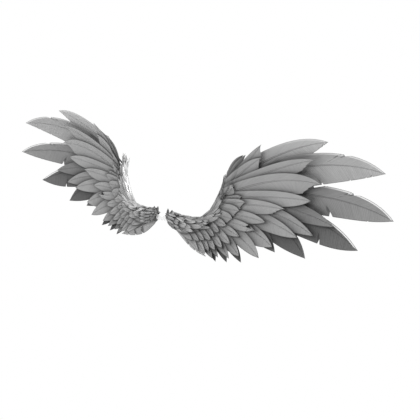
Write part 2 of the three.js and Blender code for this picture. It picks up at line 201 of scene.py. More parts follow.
UPPER_LESSERS = np.array([
    [6.3, 213, 115, 0, 16, 17, 9, 9, 1.0],
    [5.6, 236, 96, 0, 6, 20, 8, 8, 0.94],
    [5.35, 247, 81, 0, 11, 20, 6, 8, 0.92],
    [5.0, 232, 57, 0, 14, 18, 6, 8, 0.9],
    [4.5, 215, 33, 0, 14, 16, 6, 8, 0.88],
])
LOWER_LESSERS = np.array([
    [4.05, 200, 14, 0, 12, 13, 3.5, 4, 0.93],
    [3.7, 183, -6, 0, 11, 12, 3.5, 4, 0.93],
    [3.35, 171, -19, 0, 10, 11, 3.5, 4, 0.94],
    [2.95, 163, -30, 0, 10, 11, 3.5, 4, 0.95],
    [2.5, 145, -34, 0, 10, 11, 3.5, 4, 0.95],
    [1.95, 130, -38, 0, 10, 11, 3.5, 4, 0.96],
    [1.35, 111, -39, 0, 10, 11, 3.5, 4, 0.98],
])

PRIMARY_SPLITS = [
    (0, 0.9, -1, 0.16, 5), (0, 0.94, -1, 0.3, 5),
    (1, 0.72, 1, 0.32, 5), (1, 0.74, 1, 0.16, 30), (1, 0.57, -1, 0.14, 7), (1, 0.76, -1, 0.1, 5),
    (1, 0.87, -1, 0.12, 5), (1, 0.91, -1, 0.14, 5),
    (2, 0.715, 1, 0.36, 5), (2, 0.73, 1, 0.2, 30), (2, 0.5, 1, 0.45, 40), (2, 0.53, 1, 0.5, 5),
    (2, 0.56, 1, 0.5, 5), (2, 0.6, -1, 0.36, 12), (2, 0.84, -1, 0.07, 4),
    (3, 0.71, -1, 0.3, 9),
]
COVERT_SPLITS = [(9, 0.86, -1, 0.7, 9)]
COVERT_ENDS = [
    (2, -1, 0.22, 0.5), (3, -1, 0.26, 1), (4, -1, 0.16, 11), (5, -1, 0.2, 5), (7, -1, 0.2, 9),
    (9, 1, 0.08, 12), (9, -1, 0.14, 9),
]
UPPER_LESSER_ENDS = [
    (0, 1, 0.1, 0.8), (0, -1, 0.16, 1), (1, 1, 0.2, 2.5), (1, -1, 0.3, 2.5),
    (2, -1, 0.34, 2.5), (3, -1, 0.3, 1.2), (4, -1, 0.25, 0.8),
]
print("feathers a wing:", sum(map(len, (PRIMARIES, LOWER_PRIMARIES, SECONDARIES, LOWER_SECONDARIES, COVERTS,
                                        LOWER_COVERTS, UPPER_LESSERS, LOWER_LESSERS))))

# %% [markdown]
# ## One shape for the whole wing
# The rows could be placed feather by feather, but then neighbours would cut through each other.
# Instead all of them follow one shallow dish, each row at its own depth. Within a row, a feather comes
# forward in step with its number, so each one lies just in front of the one above it, as slates do.

# %% Work out depths on the wing
DISH = {"depth": 61, "x": 420, "z": 150, "inner": 520, "outer": 270, "below": 245, "above": 220}
FAN_CENTRE = (120, 40)
CURL_SPAN = 100
SLATE_STEP = 2.4
CHORDS_BEYOND = 2
CHORD_SAMPLES = 600
HALVINGS = 24
FAN_MIDDLE = (300.0, 100.0)
# fade is painted shade towards the quill; rim asks for a painted white highlight on the upper edge.
ROWS = {
    "primary": {"offset": 7, "curl_from": 350, "curl": 5, "rise": (0.02, 0.32), "fade": 0.42, "rim": 1},
    "secondary": {"offset": 0, "curl_from": 80, "curl": 0.4, "rise": (0.02, 0.3), "fade": 0.2, "rim": 0},
    "covert": {"offset": -7, "curl_from": 80, "curl": 0.5, "rise": (-0.25, 0.12), "fade": 0.1, "rim": 0},
    "lesser": {"offset": -13.4, "curl_from": 80, "curl": 0.5, "rise": (-0.3, 0.05), "fade": 0.1, "rim": 0},
}


def row_depth(row, x, z):
    """Depth of a row's surface at a place on the wing."""
    across = (x - DISH["x"]) / np.where(x < DISH["x"], DISH["inner"], DISH["outer"])
    upward = (z - DISH["z"]) / np.where(z < DISH["z"], DISH["below"], DISH["above"])
    reach = np.hypot(x - FAN_CENTRE[0], z - FAN_CENTRE[1])
    past = np.maximum(0, reach - row["curl_from"]) / CURL_SPAN
    return DISH["depth"] * (1 - across**2 - upward**2) + row["offset"] - row["curl"] * past**2


def chord_fan(feathers):
    """Straight lines from seat to tip, at many numbers between and just past the feathers of a list."""
    numbers = np.linspace(-CHORDS_BEYOND, len(feathers) - 1 + CHORDS_BEYOND, CHORD_SAMPLES)
    first = np.clip(np.floor(numbers), 0, len(feathers) - 2).astype(int)
    mixed = feathers[first] + (numbers - first)[:, None] * (feathers[first + 1] - feathers[first])
    arms = [arm_at(station) for station in np.clip(mixed[:, 0], 0, LAST_STATION)]
    seats = np.array([arm["centre"] + arm["radius"] * arm["outward"] for arm in arms])
    return {"numbers": numbers, "lines": np.column_stack([seats[:, [0, 2]], mixed[:, 1:3]])}


def chord_number(fan, x, z):
    """The number of the line that passes through each place, found by halving."""
    low = np.full(x.shape, fan["numbers"][0])
    high = np.full(x.shape, fan["numbers"][-1])
    for _ in range(HALVINGS):
        middle = (low + high) / 2
        seat_x, seat_z, tip_x, tip_z = (np.interp(middle, fan["numbers"], side) for side in fan["lines"].T)
        below = (tip_x - seat_x) * (z - seat_z) < (tip_z - seat_z) * (x - seat_x)
        low, high = np.where(below, middle, low), np.where(below, high, middle)
    return (low + high) / 2


print("depth at the fan's middle:", row_depth(ROWS["covert"], *FAN_MIDDLE).round(2))

# %% [markdown]
# ## A feather's shaft and vanes
# Every feather hangs on its shaft, which starts inside the arm and bows up a little on its way to the
# tip. Outlines drawn point by point would take hundreds of numbers, so one rule gives the width of every
# vane: a bare quill, a quick rise, and an end that is pointed or blunt.

# %% Draw shafts and vanes
QUILL_IN_ARM = 10
DEEPEST_SEAT = 0.97
BEND_AT = 0.6
QUILL_HALF_WIDTH = 3
QUILL_FADE = 3
TIP_HALF_WIDTH = 0.5
LONGEST_PRIMARY = 2


def smoothstep(low, high, value):
    """A share that goes softly from 0 to 1 between two values."""
    share = np.clip((value - low) / (high - low), 0, 1)
    return share * share * (3 - 2 * share)


def vane_width(full, blunt, rise, along):
    """Half width of a vane: a bare quill, a quick rise, then a pointed or blunt end."""
    body = full * smoothstep(*rise, along) * (1 - along**blunt)
    quill = QUILL_HALF_WIDTH * (1 - along**QUILL_FADE)
    return np.maximum(np.maximum(body, quill), TIP_HALF_WIDTH)


def shaft_line(row, feather):
    """The shaft's start, bend and tip on the wing. Its quill starts inside the arm."""
    arm = arm_at(feather["station"])
    rim = arm["centre"] + arm["radius"] * arm["outward"]
    depth = row_depth(row, rim[0], arm["centre"][2])
    off_centre = min(abs(depth - arm["centre"][1]), arm["radius"] * DEEPEST_SEAT)
    meets = math.sqrt(arm["radius"] ** 2 - off_centre**2) - QUILL_IN_ARM
    start = (arm["centre"] + meets * arm["outward"])[[0, 2]]
    tip = np.array([feather["tip_x"], feather["tip_z"]])
    line = tip - start
    upward = np.array([-line[1], line[0]]) / np.linalg.norm(line)
    return start, start + BEND_AT * line + 2 * feather["bow"] * upward, tip


def on_shaft(start, bend, tip, along):
    """Places on a shaft's curve, and its directions there."""
    heading = 2 * (1 - along)[..., None] * (bend - start) + 2 * along[..., None] * (tip - bend)
    heading /= np.linalg.norm(heading, axis=-1, keepdims=True)
    centre = ((1 - along) ** 2)[..., None] * start + (2 * along * (1 - along))[..., None] * bend
    return centre + (along**2)[..., None] * tip, heading


longest = dict(zip(FEATHER, PRIMARIES[LONGEST_PRIMARY]))
print("third primary's shaft:", [end.round(1).tolist() for end in shaft_line(ROWS["primary"], longest)])

# %% [markdown]
# ## Barbs, splits and ragged ends
# A real vane is hundreds of barbs that leave the shaft at a slant and hook into each other.
# So the sheet's lines run along the barbs and not straight across: a split then opens along a barb,
# and fine ridges and streaks follow the barbs by themselves. Where barbs have let go the vane loses width,
# and the crack beside them gets painted shade. A ragged end is cut back further in every second column.

# %% Open splits and cut back ends
BARB_STEP = 2.4
LEAST_BARBS = 14
LEAN_RISE = (0.0, 0.3)
# A split's walls and the lines that draw them, in half mouths from its middle.
OPENING = (0.3, 1.7)
SPLIT_STEPS = (-0.3, 0, 0.5, 1, 1.7)
CRACK_SHADE = 3.5
END_STARTS = (0.55, 1.0)


def own_rows(names, rows, number):
    """The rows of a table of splits or ends that belong to one feather."""
    return [dict(zip(names, row)) for row in rows if row[0] == number]


def barb_starts(cuts, leans, length):
    """Where the barbs leave the shaft, with more of them at each split, and where the splits open."""
    barbs = np.linspace(0, 1, max(LEAST_BARBS, int(length / BARB_STEP)))
    slant = (1 - barbs) * smoothstep(*LEAN_RISE, barbs)
    mouths, extra = [], []
    for cut in cuts:
        middle = np.interp(cut["along"], barbs + leans[cut["vane"]] * slant, barbs)
        half = cut["wide"] / 2 / length
        mouths.append((middle, half))
        extra += [middle + side * half for side in SPLIT_STEPS]
        extra += [middle + side * CRACK_SHADE / length for side in (-1, 1)]
    return np.unique(np.clip(np.concatenate([barbs, extra]), 0, 1)), mouths


def open_splits(cuts, mouths, barbs, shares, length):
    """What is left of each vane's width at the splits, and the painted shade in the cracks beside them."""
    kept = {1: np.ones_like(barbs), -1: np.ones_like(barbs)}
    crack = np.zeros_like(shares)
    for cut, (middle, half) in zip(cuts, mouths):
        away = np.abs(barbs - middle)
        reach = np.where(barbs < middle, *OPENING) * half
        kept[cut["vane"]] *= 1 - cut["deep"] * np.clip(1 - away / reach, 0, 1)
        # The crack beside a split gets painted shade.
        wall = np.clip(1 - away * length / CRACK_SHADE, 0, 1)[:, None]
        crack = np.maximum(crack, wall * (shares * cut["vane"] > 1 - cut["deep"]))
    return kept, crack


def cut_back(ends, lines, shares, columns, length):
    """The share of the length that is left at each point of slanting, ragged ends."""
    teeth = np.abs(np.arange(2 * columns - 1) - columns + 1) % 2
    left = np.ones_like(lines)
    for end in ends:
        lost = (end["cut"] + end["teeth"] / length * teeth) * np.abs(shares)
        left -= np.where(shares * end["vane"] > 0, lost, 0) * smoothstep(*END_STARTS, lines)
    return left


print("splits in the third primary:", len(own_rows(SPLIT, PRIMARY_SPLITS, LONGEST_PRIMARY)))

# %% [markdown]
# ## One feather as a sheet
# The sheet is a grid, with one line for each barb and columns from edge to edge. Each point remembers how
# far along the shaft its barb starts, how far it is from the shaft, and how close it is to the edge,
# because the swelling of the vane and all of its markings follow these. The tone fades towards the
# quill as painted shade, where the feather comes out from under the rows in front, and the upper edge of
# a long feather gets a painted white highlight near the tip, where its thin edge catches the light.

# %% Put a feather's sheet together
MOST_LEAN = 0.45
UPPER_LEAN = 1.8
SHAFT_RADIUS = 1.9
SHAFT_TIP_SHARE = 0.25
SHAFT_ROOM = 0.3
# For the painted white highlight on a long feather's upper edge.
PALEST_RIMMED = 1.7
LEAST_RIMMED = 300
RIM_RISE = (0.45, 0.75)
WHOLE_VANE = 0.95
LONG_COLUMNS = 9
SHORT_COLUMNS = 7


def off_shaft(shares, width, shaft, columns):
    """How far out each point lies: the first column runs beside the shaft and the rest share the vane."""
    near = np.minimum(shaft, SHAFT_ROOM * width)
    step = 1 / (columns - 1)
    past = np.clip((np.abs(shares) - step) / (1 - step), 0, 1)
    return np.where(np.abs(shares) < step / 2, 0, near + past * (width - near)) * np.sign(shares)


def feather_sheet(row, fan, feathers, number, splits, ends, columns):
    """Points of one feather, barb by barb from quill to tip, with what each point remembers."""
    feather = dict(zip(FEATHER, feathers[number]))
    start, bend, tip = shaft_line(row, feather)
    length = np.linalg.norm(tip - start)
    lower_lean = min(MOST_LEAN, (feather["up"] + feather["down"]) / length)
    leans = {1: min(MOST_LEAN, UPPER_LEAN * lower_lean), -1: lower_lean}
    cuts = own_rows(SPLIT, splits, number)
    barbs, mouths = barb_starts(cuts, leans, length)
    share = np.concatenate([-np.linspace(1, 0, columns)[:-1], np.linspace(0, 1, columns)])
    lines, shares = np.meshgrid(barbs, share, indexing="ij")
    kept, crack = open_splits(cuts, mouths, barbs, shares, length)

    lean = np.where(shares > 0, leans[1], leans[-1])
    along = lines + lean * (1 - lines) * smoothstep(*LEAN_RISE, lines) * np.abs(shares)
    along = along * cut_back(own_rows(END, ends, number), lines, shares, columns, length)
    upper = vane_width(feather["up"], feather["up_blunt"], row["rise"], along) * kept[1][:, None]
    lower = vane_width(feather["down"], feather["down_blunt"], row["rise"], along) * kept[-1][:, None]
    width = np.where(shares > 0, upper, lower)
    shaft = SHAFT_RADIUS * (1 - (1 - SHAFT_TIP_SHARE) * along)
    off = off_shaft(shares, width, shaft, columns)

    centre, heading = on_shaft(start, bend, tip, along)
    x = centre[..., 0] - heading[..., 1] * off
    z = centre[..., 1] + heading[..., 0] * off
    y = row_depth(row, x, z) - SLATE_STEP * (number - chord_number(fan, x, z))
    edge = np.abs(off) / width
    edge[[0, -1], :] = 1
    # A painted white highlight on the upper edge near the tip, strongest on a dark flight feather.
    rim_highlight = row["rim"] * (length > LEAST_RIMMED) * np.clip(PALEST_RIMMED - feather["tone"], 0, 1)
    whole = (kept[1] > WHOLE_VANE)[:, None]
    return {
        "points": np.stack([x, y, z], axis=-1),
        "vane": np.stack([lines * length * MM, off * MM, edge], axis=-1),
        "shaft": shaft * MM,
        # the tone, with painted shade towards the quill
        "tone": feather["tone"] * (1 - row["fade"] * (1 - along)),
        "crack": crack,
        "rim": rim_highlight * smoothstep(*RIM_RISE, along) * (shares > 0) * whole,
    }


trial = feather_sheet(ROWS["primary"], chord_fan(PRIMARIES), PRIMARIES, LONGEST_PRIMARY, PRIMARY_SPLITS, (),
                      LONG_COLUMNS)
print("third primary:", trial["points"].shape[:2], "points")

# %% [markdown]
# ## The rows in order
# Here are the rows from back to front, with the finish that each takes. A long feather is a piece of its
# own. The smallest ones are sewn to a ribbon on the real thing, so each strip of them is one piece.
# The long feather along the root's lower edge is bent back under the root and split into plates, so it
# gets a rule of its own.

# %% Work out every sheet
ROOT_WRAP = 0.84
ROOT_RISE = (-0.3, 0.6)
ROOT_SPLITS = [(3, 0.5, -1, 0.9, 7), (3, 0.68, -1, 0.85, 7), (3, 0.84, -1, 0.8, 6)]


def row_group(row, feathers, slot, splits=(), ends=(), strip=True):
    """All sheets of one list of feathers."""
    fan = chord_fan(feathers)
    columns = SHORT_COLUMNS if strip else LONG_COLUMNS
    sheets = [feather_sheet(ROWS[row], fan, feathers, n, splits, ends, columns) for n in range(len(feathers))]
    return {"row": row, "slot": slot, "strip": strip, "sheets": sheets}


def root_sheet():
    """The long feather along the root's lower edge, slow to widen and bent back under the root."""
    row = {**ROWS["secondary"], "rise": ROOT_RISE}
    fan = chord_fan(LOWER_SECONDARIES)
    last = len(LOWER_SECONDARIES) - 1
    sheet = feather_sheet(row, fan, LOWER_SECONDARIES, last, ROOT_SPLITS, (), SHORT_COLUMNS)
    sheet["points"][..., 1] -= ROOT_WRAP * np.minimum(sheet["vane"][..., 1], 0) / MM
    return sheet


GROUPS = {
    "primary": row_group("primary", PRIMARIES, "flight_feathers", PRIMARY_SPLITS, strip=False),
    "lower_primary_strip": row_group("primary", LOWER_PRIMARIES, "flight_feathers"),
    "secondary": row_group("secondary", SECONDARIES, "cover_feathers", strip=False),
    "lower_secondary_strip": row_group("secondary", LOWER_SECONDARIES, "cover_feathers"),
    "covert": row_group("covert", COVERTS, "cover_feathers", COVERT_SPLITS, COVERT_ENDS, strip=False),
    "lower_covert_strip": row_group("covert", LOWER_COVERTS, "cover_feathers"),
    "upper_lesser_strip": row_group("lesser", UPPER_LESSERS, "cover_feathers", ends=UPPER_LESSER_ENDS),
    "lower_lesser_strip": row_group("lesser", LOWER_LESSERS, "cover_feathers"),
}
root_feather = root_sheet()
GROUPS["lower_secondary_strip"]["sheets"][-1] = root_feather
print("sheet points:", sum(sheet["tone"].size for group in GROUPS.values() for sheet in group["sheets"]))

# %% [markdown]
# ## A torn covert
# One covert has lost a patch of barbs beside its shaft, and the feathers that show through it get painted
# shade. A dark spot painted on the torn feather itself would look flat from the side, so the patch is left
# out of the mesh. Its points count as edge, so that the vane thins out round the hole as it does at its rim.

# %% Tear one covert
TORN_COVERT = 9
TORN_ALONG = (0.7, 0.9)
TORN_OFF = (0.5 * MM, 9 * MM)
TORN_TEETH = 0.02


def tear(sheet):
    """Opens a ragged hole in a feather, by shares of its length and distances from its shaft."""
    share = sheet["vane"][..., 0] / sheet["vane"][..., 0].max()
    off = sheet["vane"][..., 1]
    ragged = TORN_TEETH * (np.arange(share.shape[1]) % 2)
    within = (share > TORN_ALONG[0] + ragged) & (share < TORN_ALONG[1] - ragged)
    sheet["hole"] = within & (off > TORN_OFF[0]) & (off < TORN_OFF[1])
    sheet["vane"][sheet["hole"], 2] = 1


torn_covert = GROUPS["covert"]["sheets"][TORN_COVERT]
tear(torn_covert)
print("points in the hole:", torn_covert["hole"].sum())

# %% [markdown]
# ## The arm under its leaves
# The small leaves of the arm lie on a sleeve. It is fuller and lower near the root, draws in to a blunt
# end there, and is thin and set back at the hand, so that the coverts stand in front of it. It is clothed
# later, but the shade on the rows needs to know where its edge runs.

# %% Work out the sleeve
ROOT_START = 0.28
ROOT_FULL = 1.0
ROOT_NARROW = 0.62
ROOT_SWELL = 5.5
ROOT_DROP = 3
ROOT_ENDS = (1.6, 3.4)
HAND_FROM = 5.5
HAND_FULL = 6.8
HAND_END = 7.0
HAND_BACK = 8
HAND_IN = 10
HAND_THIN = 0.5
LEAF_ROOM = 2.5
RIM_POINTS = 200


def sleeve_at(station):
    """Centre and radius under the arm's leaves at a station."""
    arm = arm_at(station)
    past_root = smoothstep(*ROOT_ENDS, station)
    at_hand = smoothstep(HAND_FROM, HAND_FULL, station)
    swell = ROOT_SWELL * max(0, 1 - station) - LEAF_ROOM * past_root
    shift = at_hand * (np.array([0, HAND_BACK, 0]) - HAND_IN * arm["outward"])
    centre = arm["centre"] + shift - (0, 0, ROOT_DROP * (1 - past_root))
    narrow = ROOT_NARROW + (1 - ROOT_NARROW) * smoothstep(ROOT_START, ROOT_FULL, station)
    return centre, (arm["radius"] + swell) * (1 - HAND_THIN * at_hand) * narrow


def arm_rim():
    """The points along the arm's edge towards the feathers."""
    rim = []
    for station in np.linspace(ROOT_START, HAND_END, RIM_POINTS):
        centre, radius = sleeve_at(station)
        rim.append((centre + (radius + LEAF_ROOM) * arm_at(station)["outward"])[[0, 2]])
    return np.array(rim)


print("sleeve radius at the root:", sleeve_at(ROOT_START)[1].round(1))
print("sleeve radius at the hand:", sleeve_at(HAND_END)[1].round(1))

# %% [markdown]
# ## Shade where feathers come out
# A feather is darkest where it comes out from under the one in front, and the dark fades with distance.
# Real light does this too, but the gaps between the rows are so thin that the picture shows far more of
# it than plain lamps give. So each point also remembers how close the nearest edge in front of it is.
# Cracks, the torn hole and one deep gap beside a long covert are dark in the same way.

# %% Shade the tucked parts
TUCKS = {
    # row: (reach in millimetres, strength)
    "primary": (13, 0.8),
    "secondary": (10, 1),
    "covert": (7, 1),
    "lesser": (5, 0.8),
}
GAP_COVERT = 2
GAP_LINE = np.linspace((293, 180), (325, 195), 12)
DEEP_SHADES = [
    # the feather in front, the places that it leaves dark, reach in millimetres
    (GROUPS["covert"]["sheets"][GAP_COVERT], GAP_LINE, 7),
    (torn_covert, torn_covert["points"][torn_covert["hole"]][:, [0, 2]], 6),
]
STRIP_STRENGTH = 1.3
PALEST_TUCKED = 1.75
TUCK_RANGE = (0.3, 1)
ARM_TUCK_REACH = 4
ROOT_TUCK = 0.3


def outline(sheet):
    """The points along both edges and the end of a feather, on the wing."""
    points = sheet["points"]
    return np.concatenate([points[:, 0], points[:, -1], points[-1]])[:, [0, 2]]


def distances(points, places):
    """How far each place is from the nearest of the points."""
    tree = kdtree.KDTree(len(points))
    for index, (x, z) in enumerate(points):
        tree.insert((x, z, 0), index)
    tree.balance()
    return np.array([tree.find((x, z, 0))[2] for x, z in places])


def deep_shade(ordered, number, places):
    """The dark behind a torn feather and in the gap beside a long one."""
    shade = np.zeros(len(places))
    for front, dark, reach in DEEP_SHADES:
        if number < next(n for n, (_, sheet) in enumerate(ordered) if sheet is front):
            shade = np.maximum(shade, np.exp(-((distances(dark, places) / reach) ** 2)))
    return shade


def shade_tucks(groups):
    """Notes on each sheet the painted shade near the edge of the arm or of a feather in front of it."""
    ordered = [(group, sheet) for group in groups for sheet in group["sheets"]]
    edges = [outline(sheet) for _, sheet in ordered]
    rim = arm_rim()
    for number, (group, sheet) in enumerate(ordered):
        reach, strength = TUCKS[group["row"]]
        strength *= np.clip(PALEST_TUCKED - sheet["tone"].max(), *TUCK_RANGE)
        strength *= STRIP_STRENGTH if group["strip"] else 1
        places = sheet["points"][..., [0, 2]].reshape(-1, 2)
        # Painted shade along the arm's edge, where the feathers go in under the leaves.
        beside_arm = np.exp(-distances(rim, places) / ARM_TUCK_REACH)
        tuck = np.maximum(beside_arm, deep_shade(ordered, number, places))
        if number + 1 < len(ordered):
            in_front = np.concatenate(edges[number + 1:])
            tuck = np.maximum(tuck, strength * np.exp(-distances(in_front, places) / reach))
        sheet["tuck"] = np.maximum(tuck.reshape(sheet["tone"].shape), sheet["crack"])


shade_tucks(GROUPS.values())
root_feather["tuck"] = np.maximum(ROOT_TUCK * root_feather["tuck"], root_feather["crack"])
print("deepest shade on a primary:", GROUPS["primary"]["sheets"][LONGEST_PRIMARY]["tuck"].max().round(2))

# %% [markdown]
# ## Sheets become meshes
# The sheets of one piece go into one mesh, with their notes kept as attributes, because the finish and
# the next step both read them. The other wing is the same mesh mirrored, with its faces turned over
# so that they still point out. The faces inside a torn hole are left out, and so are its loose points.

# %% Turn sheets into meshes
def drop_loose_points(mesh):
    """Removes the points that no face uses."""
    trimmed = bmesh.new()
    trimmed.from_mesh(mesh)
    unused = [point for point in trimmed.verts if not point.link_faces]
    bmesh.ops.delete(trimmed, geom=unused, context="VERTS")
    trimmed.to_mesh(mesh)
    trimmed.free()


def sheet_mesh(name, sheets, side):
    """A mesh of the sheets of one piece, for the wing on side +1 or -1."""
    points, faces = [], []
    start = 0
    for sheet in sheets:
        rows, columns = sheet["points"].shape[:2]
        number = start + np.arange(rows * columns).reshape(rows, columns)
        quads = np.stack([number[:-1, :-1], number[1:, :-1], number[1:, 1:], number[:-1, 1:]], axis=-1)
        quads = quads.reshape(-1, 4)[:, ::side]
        if "hole" in sheet:
            quads = quads[~sheet["hole"].ravel()[quads - start].all(axis=1)]
        faces.append(quads)
        points.append(sheet["points"].reshape(-1, 3) * MM * np.array([side, 1, 1]))
        start += rows * columns
    mesh = bpy.data.meshes.new(name)
    mesh.from_pydata(np.concatenate(points).tolist(), [], np.concatenate(faces).tolist())
    vane = mesh.attributes.new("vane", "FLOAT_VECTOR", "POINT")
    vane.data.foreach_set("vector", np.concatenate([s["vane"].reshape(-1, 3) for s in sheets]).ravel())
    for note in ("shaft", "tone", "tuck", "rim"):
        values = mesh.attributes.new(note, "FLOAT", "POINT")
        values.data.foreach_set("value", np.concatenate([s[note].ravel() for s in sheets]))
    drop_loose_points(mesh)
    return mesh


def new_object(name, mesh):
    """A new object in the scene with a mesh or a curve."""
    made = bpy.data.objects.new(name, mesh)
    bpy.context.scene.collection.objects.link(made)
    return made


print("sheets to turn into meshes:", sum(len(group["sheets"]) for group in GROUPS.values()))

# %% [markdown]
# ## Small helpers for node trees
# Both the shapes and the finishes are built as node trees. A few helpers keep those cells short: one sets
# or links a socket, one adds a node, one adds a sum, one ties these two to a tree, one starts a tree with
# named sockets, and one looks up the identifier that a modifier wants for a tree's input.

# %% Define node helpers
def plug(tree, value, socket):
    """Links another node's output to a socket, or sets the socket to a value."""
    if isinstance(value, bpy.types.NodeSocket):
        tree.links.new(value, socket)
    else:
        socket.default_value = value


def add_node(tree, kind, inputs=None, **settings):
    """A new node with its settings made and its inputs plugged, by name or by number."""
    node = tree.nodes.new(kind)
    for name, value in settings.items():
        setattr(node, name, value)
    for name, value in (inputs or {}).items():
        plug(tree, value, node.inputs[name])
    return node


def sum_of(tree, operation, *values):
    """The output of one sum, such as ADD or MULTIPLY."""
    node = add_node(tree, "ShaderNodeMath", dict(enumerate(values)), operation=operation)
    return node.outputs[0]


def helpers_on(tree):
    """The helpers for nodes and for sums, tied to one tree."""
    return partial(add_node, tree), partial(sum_of, tree)


def new_tree(name, kind, inputs, outputs):
    """An empty tree with named sockets: the tree, what it is given and what it has to make."""
    tree = bpy.data.node_groups.new(name, kind)
    for label, socket, value in inputs:
        made = tree.interface.new_socket(label, in_out="INPUT", socket_type=socket)
        if value is not None:
            made.default_value = value
    for label, socket in outputs:
        tree.interface.new_socket(label, in_out="OUTPUT", socket_type=socket)
    return tree, tree.nodes.new("NodeGroupInput").outputs, tree.nodes.new("NodeGroupOutput").inputs


def socket_name(tree, label):
    """The identifier of a tree's input, by which a modifier's value is set."""
    return next(item.identifier for item in tree.interface.items_tree
                if item.name == label and item.in_out == "INPUT")


HELPERS = (plug, add_node, sum_of, helpers_on, new_tree, socket_name)
print("helpers:", ", ".join(helper.__name__ for helper in HELPERS))

# %% [markdown]
# ## From a sheet to a feather
# A vane is thickest at the shaft and runs out to a knife edge. A Solidify modifier would give it a
# blunt rim, so a node tree does it: it makes a front and a back from the sheet, swells both by the same
# rule, raises the shaft and the barb ridges, and welds the two along the rim where the swelling ends.
# The back gets painted shade, darker than the front except at the rim, to tone down the strong rear lamp.

# %% Build the feather tree
VANE_THICKNESS = 1.2 * MM
SHAFT_HEIGHT = 0.7 * MM
RIDGE_PITCH = 7.2 * MM
RIDGE_HEIGHT = 0.16 * MM
RIDGE_FADE = 0.25
BACK_SHADE = 0.45
WELD = 0.002 * MM
CREASE_ANGLE = 0.6


def build_feather_tree():
    """A tree that turns a sheet into a closed feather with a raised shaft and fine ridges."""
    tree, given, made = new_tree(
        "feather_body",
        "GeometryNodeTree",
        [
            ("Sheet", "NodeSocketGeometry", None),
            ("Vane Thickness", "NodeSocketFloat", VANE_THICKNESS),
            ("Shaft Height", "NodeSocketFloat", SHAFT_HEIGHT),
            ("Ridge Pitch", "NodeSocketFloat", RIDGE_PITCH),
            ("Ridge Height", "NodeSocketFloat", RIDGE_HEIGHT),
            ("Finish", "NodeSocketMaterial", None),
        ],
        [("Feather", "NodeSocketGeometry")],
    )
    add, calc = helpers_on(tree)
    vane = add("GeometryNodeInputNamedAttribute", {"Name": "vane"}, data_type="FLOAT_VECTOR")
    shaft = add("GeometryNodeInputNamedAttribute", {"Name": "shaft"}, data_type="FLOAT")
    along, off, edge = add("ShaderNodeSeparateXYZ", {0: vane.outputs[0]}).outputs
    inside = calc("SUBTRACT", 1, calc("POWER", edge, 2))
    swell = calc("SQRT", calc("MAXIMUM", inside, 0))
    body = calc("MULTIPLY", calc("MULTIPLY", given["Vane Thickness"], 0.5), swell)

    from_shaft = calc("DIVIDE", calc("ABSOLUTE", off), shaft.outputs[0])
    round_top = calc("MAXIMUM", calc("SUBTRACT", 1, calc("POWER", from_shaft, 2)), 0)
    shaft_top = calc("MULTIPLY", calc("SQRT", round_top), given["Shaft Height"])
    turns = calc("MULTIPLY", calc("DIVIDE", along, given["Ridge Pitch"]), 2 * math.pi)
    wave = calc("MULTIPLY", calc("SINE", turns), given["Ridge Height"])
    wave = calc("MULTIPLY", wave, calc("MINIMUM", calc("MULTIPLY", from_shaft, RIDGE_FADE), 1))
    relief = calc("MULTIPLY", calc("ADD", shaft_top, wave), swell)
    total = calc("ADD", body, relief)

    normal = add("GeometryNodeInputNormal")
    push = add("ShaderNodeVectorMath", {0: normal.outputs[0], "Scale": total}, operation="SCALE")
    flipped = add("GeometryNodeFlipFaces", {"Mesh": given["Sheet"]})
    # Painted shade on the back, fading out towards the rim.
    dark = calc("MULTIPLY", swell, BACK_SHADE)
    back = add("GeometryNodeStoreNamedAttribute",
               {"Geometry": flipped.outputs[0], "Name": "tuck", "Value": dark}, data_type="FLOAT")
    both = add("GeometryNodeJoinGeometry")
    for sheet in (given["Sheet"], back.outputs[0]):
        pushed = add("GeometryNodeSetPosition", {"Geometry": sheet, "Offset": push.outputs[0]})
        tree.links.new(pushed.outputs[0], both.inputs[0])
    welded = add("GeometryNodeMergeByDistance", {"Geometry": both.outputs[0], "Distance": WELD})
    angle = add("GeometryNodeInputMeshEdgeAngle")
    gentle = add("FunctionNodeCompare", {0: angle.outputs[0], 1: CREASE_ANGLE}, operation="LESS_THAN")
    smooth = add("GeometryNodeSetShadeSmooth",
                 {0: welded.outputs[0], "Shade Smooth": gentle.outputs[0]}, domain="EDGE")
    real = add("GeometryNodeRealizeInstances", {0: smooth.outputs[0]})
    finished = add("GeometryNodeSetMaterial", {"Geometry": real.outputs[0], "Material": given["Finish"]})
    plug(tree, finished.outputs[0], made[0])
    return tree


feather_tree = build_feather_tree()
print("feather tree:", len(feather_tree.nodes), "nodes")

# %% [markdown]
# ## Streaks and barb lines
# Close up, a dyed feather is a satin grey with fine barb lines, and streaks where barbs have clumped.
# Both follow the notes on the sheet: the streaks are noise that is stretched along the barbs, and the barb
# lines are a wave that the streaks make wobble. Broad blotches run on from feather to feather, as uneven
# dye does.

# %% Draw streaks and barb lines
STREAKS_PER_METRE = 230
STREAK_STRETCH = 26
BLOTCH_SCALE = 14
BLOTCH_CONTRAST = 0.25
BARB_WOBBLE = 6


